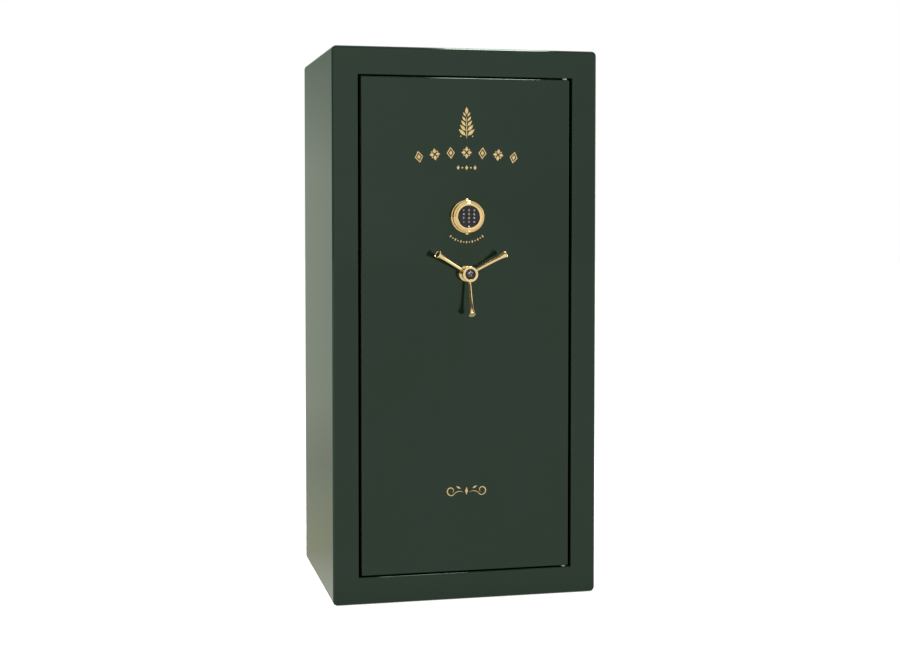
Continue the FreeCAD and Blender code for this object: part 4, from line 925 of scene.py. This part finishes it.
class SAFE_OT_handle(bpy.types.Operator):
    """Turn the brass plate, hub, cap and three flared spokes of the handle"""
    bl_idname = "gun_safe.handle"
    bl_label = "Handle"

    def execute(self, context):
        look = context.scene.safe_handle
        brass = finish("brass")
        plate = turned("handle_plate", self.plate_profile(look), HANDLE_AXIS, TO_FRONT, rounding=0.8 * MM)
        fit_out(plate, brass, "door", ["handle_rosette"])
        hub = turned("handle_hub_turned", self.hub_profile(look), HANDLE_AXIS, TO_FRONT, rounding=0.9 * MM)
        fit_out(hub, brass, "handle", ["handle_hub"])
        self.cap(look)
        self.spokes(look, brass)
        return {"FINISHED"}

    def plate_profile(self, look):
        """A stepped disc: straight edge, slope, and a raised middle."""
        bore = look.spoke_root - 1.5 * MM
        edge, slope = 2.2 * MM, 3.2 * MM
        radius, front = look.plate_radius, look.plate_proud
        return [(0, bore), (0, radius), (edge, radius), (slope, radius - 1.4 * MM),
                (front - 1.2 * MM, radius - 3 * MM), (front, radius - 5 * MM), (front, bore), (0, bore)]

    def hub_profile(self, look):
        """Back to front: foot, cove, waist, a swelling lip, and the seat for the cap."""
        front, foot, waist = look.hub_proud, look.hub_foot_proud, look.hub_waist
        bore, edge = 10 * MM, 1.2 * MM
        seat, floor = front - 3 * MM, front - 14 * MM
        cove = [(foot + 5.5 * MM + 4 * MM * step / 5,
                 waist + (look.hub_foot - waist) * (1 - step / 5) ** 2.2) for step in range(6)]
        swell = [(front - 12 * MM + 6 * MM * step / 6,
                  waist + (look.hub_radius - waist) * (step / 6) ** 1.8) for step in range(7)]
        return [(foot, bore), (foot, look.hub_foot), (foot + 4 * MM, look.hub_foot)] + cove + swell + [
            (front - edge, look.hub_radius), (front, look.hub_radius - edge),
            (front, look.cap_radius + 0.7 * MM), (front - 0.7 * MM, look.cap_radius),
            (seat, look.cap_radius), (seat, 0), (floor, 0), (floor, bore), (foot, bore)]

    def cap(self, look):
        front = look.hub_proud
        edge = look.cap_radius
        dome = arc(front - 1.2 * MM, 0, 0.7 * MM, edge - 1.6 * MM, DOME_TURNS)
        profile = [(front - 3 * MM, 0), (front - 3 * MM, edge), (front - 1.4 * MM, edge)] + dome
        cap = turned("handle_cap_domed", profile, HANDLE_AXIS, TO_FRONT, rounding=0.25 * MM)
        fit_out(cap, finish("black_gloss"), "handle", ["handle_cap"])
        petals = []
        for number in range(8):
            turn = math.radians(45 * number)
            long = 7.5 * MM if number % 2 else 9.5 * MM
            petals.append(leaf(*away(0, HANDLE_AXIS.z, 1.5 * MM, turn), turn, long, 4.2 * MM))
        star = flat_shapes("handle_cap_star", petals, 0.6 * MM)
        star.data.transform(Matrix.Translation(TO_FRONT * (front - 0.75 * MM)))
        fit_out(star, finish("legend"), "handle", smooth=0)

    def spokes(self, look, brass):
        """One spoke is turned along its own raked axis, then copied round the hub."""
        root = HANDLE_AXIS + TO_FRONT * look.spoke_root_proud + SIDEWAYS * look.spoke_root
        tip = HANDLE_AXIS + TO_FRONT * look.spoke_tip_proud + SIDEWAYS * look.spoke_reach
        axis = (tip - root).normalized()
        long = (tip - root).length
        steps = 28
        rim_start = long * 0.985
        flare = []
        for step in range(steps + 1):
            along = step / steps
            slim = look.spoke_neck * (1 + 0.18 * along)
            flare.append((rim_start * along, slim + (look.spoke_end - slim) * along ** 7))
        rim, lip_round, dish_deep = look.spoke_end, 1.1 * MM, 1.6 * MM
        lip = [(rim_start + lip_round * math.sin(turn), rim - lip_round + lip_round * math.cos(turn))
               for turn in [math.radians(30 * step) for step in range(1, 7)]]
        hollow = rim - 2.2 * MM
        dish = [(lip[-1][0] - dish_deep * math.sin(math.radians(90 * step / 7)),
                 hollow * math.cos(math.radians(90 * step / 7))) for step in range(1, 8)]
        profile = [(0, 0)] + flare + lip + dish
        first = turned("handle_spoke_1", profile, root, axis, steps=64)
        spokes = [own_copy(first, "handle_spoke_%d" % (number + 2), self.round_hub(angle))
                  for number, angle in enumerate((150, 270))]
        first.data.transform(self.round_hub(30))
        for spoke in [first] + spokes:
            fit_out(spoke, brass, "handle", ["handle_spokes"], smooth=50)

    def round_hub(self, angle):
        return about(HANDLE_AXIS, Matrix.Rotation(math.radians(angle), 4, TO_FRONT))


class SAFE_OT_keypad(bpy.types.Operator):
    """Turn the keypad's stepped brass base and bezel, and make its lamp"""
    bl_idname = "gun_safe.keypad"
    bl_label = "Keypad"

    def execute(self, context):
        look = context.scene.safe_keypad
        brass = finish("keypad_brass")
        self.base(look, brass)
        bezel = turned("keypad_bezel_turned", self.bezel_profile(look), KEYPAD_AXIS, TO_FRONT, steps=128,
                       rounding=0.5 * MM)
        self.lamp_notch(bezel, look)
        fit_out(bezel, brass, "door", ["keypad_bezel"])
        self.lamp(look)
        return {"FINISHED"}

    def base(self, look, brass):
        bore = look.bezel_radius - look.bezel_wall
        top, radius = look.base_proud, look.base_radius
        profile = [(0, bore), (0, radius), (top * 0.45, radius), (top * 0.62, radius - 0.9 * MM),
                   (top, radius - 2 * MM), (top, bore), (0, bore)]
        ring = turned("keypad_base_turned", profile, KEYPAD_AXIS, TO_FRONT, steps=128, rounding=0.7 * MM)
        tabs = []
        for side in (-1, 1):
            centre = KEYPAD_AXIS + Vector((0, 0, side * radius))
            half = Vector((4 * MM, 0, 2.4 * MM))
            tab = block("keypad_tab", centre - half + TO_FRONT * top * 0.7, centre + half)
            round_edges(tab, 1.1 * MM)
            tabs.append(tab)
        take(ring)
        for tab in tabs:
            tab.select_set(True)
        bpy.ops.object.join()
        fit_out(ring, brass, "door", ["keypad_base"])

    def bezel_profile(self, look):
        """Back to front: a skirt, a groove, a round bead, a cove, and a broad ring that dips to the face."""
        front, back = look.bezel_proud, look.base_proud
        radius, face = look.bezel_radius, look.face_radius
        bore = radius - look.bezel_wall
        skirt = radius - 0.6 * MM
        bead = arc(front - 5.6 * MM, radius - 1.9 * MM, -4.4 * MM, 1.9 * MM, range(0, 181, 18))
        cove = front - 4.5 * MM
        seat = front - look.face_recess
        return [(back, bore), (back, skirt), (front - 13 * MM, skirt),
                (front - 11.6 * MM, radius - 3 * MM)] + bead + [
            (front - 1.4 * MM, radius - 3.3 * MM), (cove, radius - 4.1 * MM), (cove, face + 8.6 * MM),
            (front - 1.2 * MM, face + 8.0 * MM), (front, face + 6.8 * MM),
            (front - 0.5 * MM, face + 1.4 * MM), (seat + 0.6 * MM, face + 0.5 * MM), (seat, face),
            (seat - 3 * MM, face), (seat - 3 * MM, bore), (back, bore)]

    def lamp_notch(self, bezel, look):
        """A small round bite in the bezel's inner edge beside the lamp."""
        lamp = middle("led_lens")
        bite_radius, bite_deep = 4.0 * MM, 5 * MM
        let_go()
        place = (lamp.x, DOOR_FACE - look.bezel_proud - 0.8 * MM, lamp.z - 1.4 * MM)
        bpy.ops.mesh.primitive_cylinder_add(vertices=32, radius=bite_radius, depth=bite_deep, location=place,
                                            rotation=(FRONT_TURN, 0, 0))
        cutter = called("notch_cutter")
        settle(cutter)
        cut_out(bezel, cutter)

    def lamp(self, look):
        low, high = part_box("led_lens")
        radius = (high.x - low.x) / 2
        origin = Vector(((low.x + high.x) / 2, high.y, (low.z + high.z) / 2))
        stem = high.y - (DOOR_FACE - look.bezel_proud + look.face_recess)
        dome = arc(stem, 0, look.lamp_dome, radius, DOME_TURNS)
        lens = turned("lamp_lens_domed", [(0, 0), (0, radius)] + dome, origin, TO_FRONT, steps=32)
        fit_out(lens, finish("lamp"), "door", ["led_lens"], smooth=50)


class SAFE_OT_keys(bpy.types.Operator):
    """Shape one key, copy it to the twelve places, and print a number or sign on each"""
    bl_idname = "gun_safe.keys"
    bl_label = "Keys"

    def execute(self, context):
        look = context.scene.safe_keypad
        pattern = self.pattern_key(KEY_NODES[0])
        home = middle(KEY_NODES[0])
        bottom_row = min(middle(node).z for node in KEY_NODES)
        for node in KEY_NODES:
            place = middle(node)
            key = own_copy(pattern, node + "_cap", Matrix.Translation(place - home))
            fit_out(key, finish("key_black"), node, [node])
            small = place.z < bottom_row + MM
            self.legend(look, node, place, small)
        bpy.data.objects.remove(pattern)
        return {"FINISHED"}

    def pattern_key(self, node):
        """A rounded button whose back is stepped out into a flange."""
        low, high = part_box(node)
        flange = 0.8 * MM
        corner_round, front_round, dish_rim = 1.6 * MM, 0.55 * MM, 0.7 * MM
        low_front = Vector((low.x + flange, low.y, low.z + flange))
        high_front = Vector((high.x - flange, high.y - flange, high.z - flange))
        key = block("key_pattern", low_front, high_front)
        bpy.ops.object.mode_set(mode="EDIT")
        pick(key, "EDGE", lambda edge: abs(edge_line(edge).y) > ALONG)
        bpy.ops.mesh.bevel(offset=corner_round, segments=5, affect="EDGES")
        pick(key, "EDGE",
             lambda edge: abs(edge_line(edge).y) < ACROSS and edge_middle(edge).y < low.y + 0.01 * MM)
        bpy.ops.mesh.bevel(offset=front_round, segments=4, affect="EDGES")
        pick(key, "FACE", lambda face: face.normal.y < -FACING)
        bpy.ops.mesh.inset(thickness=dish_rim, depth=-KEY_DISH)
        pick(key, "FACE", lambda face: face.normal.y > FACING)
        bpy.ops.mesh.extrude_region_move(TRANSFORM_OT_translate={"value": (0, 0, 0)})
        wide, tall = high_front.x - low_front.x, high_front.z - low_front.z
        bpy.ops.transform.resize(value=((wide + 2 * flange) / wide, 1, (tall + 2 * flange) / tall))
        bpy.ops.mesh.extrude_region_move(TRANSFORM_OT_translate={"value": (0, flange, 0)})
        bpy.ops.object.mode_set(mode="OBJECT")
        return key

    def legend(self, look, node, place, small):
        sign = node[len("key_"):]
        text = KEY_LEGENDS.get(sign, sign)
        ink = 0.04 * MM
        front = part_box(node)[0].y + KEY_DISH
        let_go()
        bpy.ops.object.text_add()
        obj = called(node + "_legend")
        obj.data.body = text
        obj.data.size = look.low_legend_size if small else look.legend_size
        obj.data.offset = look.legend_weight * (0.5 if small else 1) * 0.5
        obj.data.extrude = ink
        obj.data.resolution_u = 4
        bpy.ops.object.convert(target="MESH")
        obj = bpy.context.object
        corners = [Vector(corner) for corner in obj.bound_box]
        centre = (corners[0] + corners[6]) / 2
        obj.data.transform(Matrix.Translation(-centre))
        obj.rotation_euler.x = FRONT_TURN
        obj.location = (place.x, front, place.z)
        settle(obj)
        bpy.ops.object.mode_set(mode="EDIT")
        weld(MM / 500, outward=False)
        bpy.ops.object.mode_set(mode="OBJECT")
        fit_out(obj, finish("legend"), node, smooth=0)


class SAFE_OT_ornament(bpy.types.Operator):
    """Lay the gold leaf spray, arched band, short row, beads and scroll on the door"""
    bl_idname = "gun_safe.ornament"
    bl_label = "Gold ornament"

    def execute(self, context):
        look = context.scene.safe_ornament
        shapes = {
            "gold_leaf_spray": leaf_spray(look.spray_low, look.spray_high),
            "gold_arched_band": arched_band(look),
            "gold_short_row": short_row(look),
            "gold_bead_arc": bead_arc(look),
            "gold_scroll": scroll(look),
        }
        for name, outlines in shapes.items():
            fit_out(flat_shapes(name, outlines, look.film), finish("gold"), "door", smooth=0)
        return {"FINISHED"}


class SAFE_OT_lining(bpy.types.Operator):
    """Wrap the carpet over the lining boards, divider, shelves, barrel rest and door panel"""
    bl_idname = "gun_safe.lining"
    bl_label = "Carpeted lining"
    nodes = ("side_liners", "back_liner", "top_liner", "floor_mat", "divider", "top_shelf", "side_shelves",
             "barrel_rest")

    def execute(self, context):
        look = context.scene.safe_lining
        for node in self.nodes:
            wrapped(node, "carpeted_" + node, look.edge_round, "cabinet", "carpet")
        self.door_panel(look)
        return {"FINISHED"}

    def door_panel(self, look):
        wrapped("door_trim", "carpeted_door_trim", look.edge_round * 0.8, "door", "carpet")
        low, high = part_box("door_trim")
        edge = look.screw_inset
        heights = [low.z + edge + (high.z - low.z - 2 * edge) * step / 4 for step in range(5)]
        spots = [(across, height) for across in (low.x + edge, high.x - edge) for height in heights]
        first = self.screw(look, spots[0], high.y)
        for number, (across, height) in enumerate(spots[1:], 2):
            shift = Vector((across - spots[0][0], 0, height - spots[0][1]))
            screw = own_copy(first, "panel_screw_%d" % number, Matrix.Translation(shift))
            fit_out(screw, finish("steel"), "door")
        fit_out(first, finish("steel"), "door")

    def screw(self, look, spot, face):
        """A cup washer with a domed cross-recess screw in it."""
        radius = look.screw_radius
        origin = Vector((spot[0], face, spot[1]))
        dome = arc(0.7 * MM, 0, 1.1 * MM, radius * 0.56, DOME_TURNS)
        profile = [(-0.5 * MM, 0), (-0.5 * MM, radius), (0.3 * MM, radius), (1.2 * MM, radius * 0.72),
                   (0.6 * MM, radius * 0.6)] + dome
        screw = turned("panel_screw_1", profile, origin, -TO_FRONT, steps=32)
        for turn in (0, FRONT_TURN):
            slot = block("slot_cutter", origin - Vector((0.45 * MM, -1.1 * MM, 2.3 * MM)),
                         origin + Vector((0.45 * MM, 3 * MM, 2.3 * MM)))
            slot.data.transform(about(origin, Matrix.Rotation(turn, 4, TO_FRONT)))
            cut_out(screw, slot)
        return screw


class SAFE_OT_seal(bpy.types.Operator):
    """Round the rubber strip that the closed door sits against"""
    bl_idname = "gun_safe.seal"
    bl_label = "Door seal"

    def execute(self, context):
        wrapped("door_seal", "door_seal_rounded", 1.2 * MM, "cabinet", "seal_rubber")
        return {"FINISHED"}


# Each softbox: name, place, turn in degrees, width, height, watts, and whether reflections show it.
SOFTBOXES = [
    ("overhead_softbox", (0.52, -0.62, 3.2), (0, 0, 0), 0.42, 1.5, 42, True),
    ("left_softbox", (-2.6, 0.2, 1.3), (90, 0, -90), 2.0, 2.2, 150, False),
    ("right_fill", (3.6, -2.0, 1.8), (75, 0, 60), 1.2, 2.0, 14, True),
]
CAMERA_PLACE = (-0.961, -4.326, 1.078)
CAMERA_TURN = (math.radians(90 - 2.18), 0, math.radians(-12.77))

# Stops of the ramps that colour what the safe reflects: (position, colour).
FLOOR_LEVELS = [(0.0, (0.84, 0.84, 0.81)), (0.42, (0.84, 0.84, 0.81)), (0.55, (0.45, 0.46, 0.33)),
                (0.75, (0.36, 0.38, 0.30)), (1.0, (0.42, 0.45, 0.37))]
BEHIND_LEVELS = [(0.0, (0.42, 0.45, 0.37)), (0.50, (0.42, 0.45, 0.37)), (0.515, (0.41, 0.44, 0.37)),
                 (0.56, (0.20, 0.23, 0.19)), (0.70, (0.45, 0.45, 0.43)), (1.0, (0.95, 0.95, 0.93))]
AHEAD_LEVELS = [(0.0, (0.10, 0.10, 0.09)), (0.16, (0.10, 0.10, 0.09)), (0.24, (0.95, 0.95, 0.92)),
                (0.58, (0.93, 0.93, 0.90)), (0.66, (0.78, 0.78, 0.76)), (0.76, (0.78, 0.78, 0.76)),
                (0.79, (0.04, 0.04, 0.04)), (0.87, (0.04, 0.04, 0.04)), (0.90, (0.9, 0.9, 0.87)),
                (1.0, (0.45, 0.45, 0.43))]
OVERHEAD_GAP = [(0.0, (1.0, 1.0, 1.0)), (0.68, (1.0, 1.0, 1.0)), (0.73, (0.12, 0.12, 0.12)),
                (0.86, (0.12, 0.12, 0.12)), (0.91, (1.0, 1.0, 1.0))]


class SAFE_OT_stage(bpy.types.Operator):
    """Set out the pale floor, the studio light and the camera"""
    bl_idname = "gun_safe.stage"
    bl_label = "Stage"

    def execute(self, context):
        look = context.scene.safe_stage
        context.scene.view_settings.view_transform = "Standard"
        self.floor(look)
        self.world(context, look)
        for softbox in SOFTBOXES:
            self.softbox(*softbox)
        self.camera(context, look)
        return {"FINISHED"}

    def floor(self, look):
        let_go()
        bpy.ops.mesh.primitive_circle_add(vertices=128, radius=FLOOR_RADIUS, fill_type="NGON",
                                          location=(0, 0, CAD_LOW.z - FLOOR_GAP))
        floor = called("floor")
        settle(floor)
        values = {"Roughness": 0.6, "Specular IOR Level": 0.2, "Emission Color": (1.0, 1.0, 1.0, 1.0),
                  "Emission Strength": 0.6}
        material, tree, surface = shader("Pale floor", values)
        drift = apply_effect(tree, "drift", "Value", scale=1.5)
        tint(tree, surface, drift, look.floor, [part * 0.99 for part in look.floor])
        along = put(tree, "ShaderNodeSeparateXYZ", {0: object_place(tree)}).outputs["Y"]
        shade = self.ramp(tree, spread(tree, along, 0.0, 1.0, -4.0, 4.0), FLOOR_LEVELS)
        glow = put(tree, "ShaderNodeEmission", {"Color": shade})
        self.seen_apart(tree, surface, glow, "Material Output")
        floor.data.materials.append(material)

    def ramp(self, tree, factor, levels):
        """A colour ramp with a stop for each (position, colour)."""
        item = put(tree, "ShaderNodeValToRGB", {"Fac": factor})
        while len(item.color_ramp.elements) < len(levels):
            item.color_ramp.elements.new(0.5)
        for stop, (position, level) in zip(item.color_ramp.elements, levels):
            stop.position = position
            stop.color = whole(level)
        return item.outputs["Color"]

    def world(self, context, look):
        """White behind the safe. What the safe reflects is pale in front, with dark gaps at the right and
        overhead, and falls off behind, above the horizon."""
        world = bpy.data.worlds.new("Studio")
        context.scene.world = world
        world.use_nodes = True
        tree = world.node_tree
        toward = put(tree, "ShaderNodeSeparateXYZ", {0: put(tree, "ShaderNodeTexCoord").outputs["Generated"]})
        rise = spread(tree, toward.outputs["Z"], 0.0, 1.0, -1.0, 1.0)
        behind = self.ramp(tree, rise, BEHIND_LEVELS)
        ahead = self.ramp(tree, spread(tree, toward.outputs["X"], 0.0, 1.0, -1.0, 1.0), AHEAD_LEVELS)
        gap = self.ramp(tree, rise, OVERHEAD_GAP)
        ahead = put(tree, "ShaderNodeVectorMath", {0: ahead, 1: gap}, operation="MULTIPLY").outputs[0]
        side = spread(tree, toward.outputs["Y"], 0.0, 1.0, -0.25, 0.25)
        colours = blend_colours(tree, side, ahead, behind)
        around = put(tree, "ShaderNodeBackground", {"Color": colours, "Strength": look.sky})
        seen = put(tree, "ShaderNodeBackground", {"Color": (1.0, 1.0, 1.0, 1.0), "Strength": 1.0})
        self.seen_apart(tree, seen, around, "World Output")

    def seen_apart(self, tree, seen, others, output):
        """The camera sees one shader and every other ray meets another."""
        camera = put(tree, "ShaderNodeLightPath").outputs["Is Camera Ray"]
        choice = put(tree, "ShaderNodeMixShader", {"Fac": camera})
        tree.links.new(others.outputs[0], choice.inputs[1])
        tree.links.new(seen.outputs[0], choice.inputs[2])
        tree.links.new(choice.outputs[0], tree.nodes[output].inputs["Surface"])

    def softbox(self, name, place, turn, wide, tall, power, reflected):
        let_go()
        rotation = [math.radians(angle) for angle in turn]
        bpy.ops.object.light_add(type="AREA", location=place, rotation=rotation)
        light = called(name)
        light.data.shape = "RECTANGLE"
        light.data.size = wide
        light.data.size_y = tall
        light.data.energy = power
        light.visible_glossy = reflected

    def camera(self, context, look):
        let_go()
        bpy.ops.object.camera_add(location=CAMERA_PLACE, rotation=CAMERA_TURN)
        camera = called("camera")
        camera.data.lens = look.lens
        camera.data.shift_y = look.shift
        context.scene.camera = camera


class SAFE_PT_panel(bpy.types.Panel):
    """Lists the steps and the settings"""
    bl_label = "Gun Safe"
    bl_idname = "SAFE_PT_panel"
    bl_space_type = "VIEW_3D"
    bl_region_type = "UI"
    bl_category = "Gun Safe"

    def draw(self, context):
        column = self.layout.column()
        for step in STEPS:
            column.operator(step.bl_idname)
        for name, group in SETTINGS.items():
            box = column.box()
            box.label(text=group.__doc__.split(".")[0])
            for label in group.__annotations__:
                box.prop(getattr(context.scene, name), label)


SETTINGS = {
    "safe_handle": SafeHandleSettings,
    "safe_keypad": SafeKeypadSettings,
    "safe_ornament": SafeOrnamentSettings,
    "safe_lining": SafeLiningSettings,
    "safe_finish": SafeFinishSettings,
    "safe_stage": SafeStageSettings,
}
STEPS = [SAFE_OT_finishes, SAFE_OT_handle, SAFE_OT_keypad, SAFE_OT_keys, SAFE_OT_ornament, SAFE_OT_lining,
         SAFE_OT_seal, SAFE_OT_stage]


def register():
    for item in [*SETTINGS.values(), *STEPS, SAFE_PT_panel]:
        bpy.utils.register_class(item)
    for name, group in SETTINGS.items():
        setattr(bpy.types.Scene, name, bpy.props.PointerProperty(type=group))


def unregister():
    for name in SETTINGS:
        delattr(bpy.types.Scene, name)
    for item in [SAFE_PT_panel, *reversed(STEPS), *SETTINGS.values()]:
        bpy.utils.unregister_class(item)


def main():
    register()
    for step in STEPS:
        category, action = step.bl_idname.split(".")
        getattr(getattr(bpy.ops, category), action)()


if __name__ == "__main__":
    main()
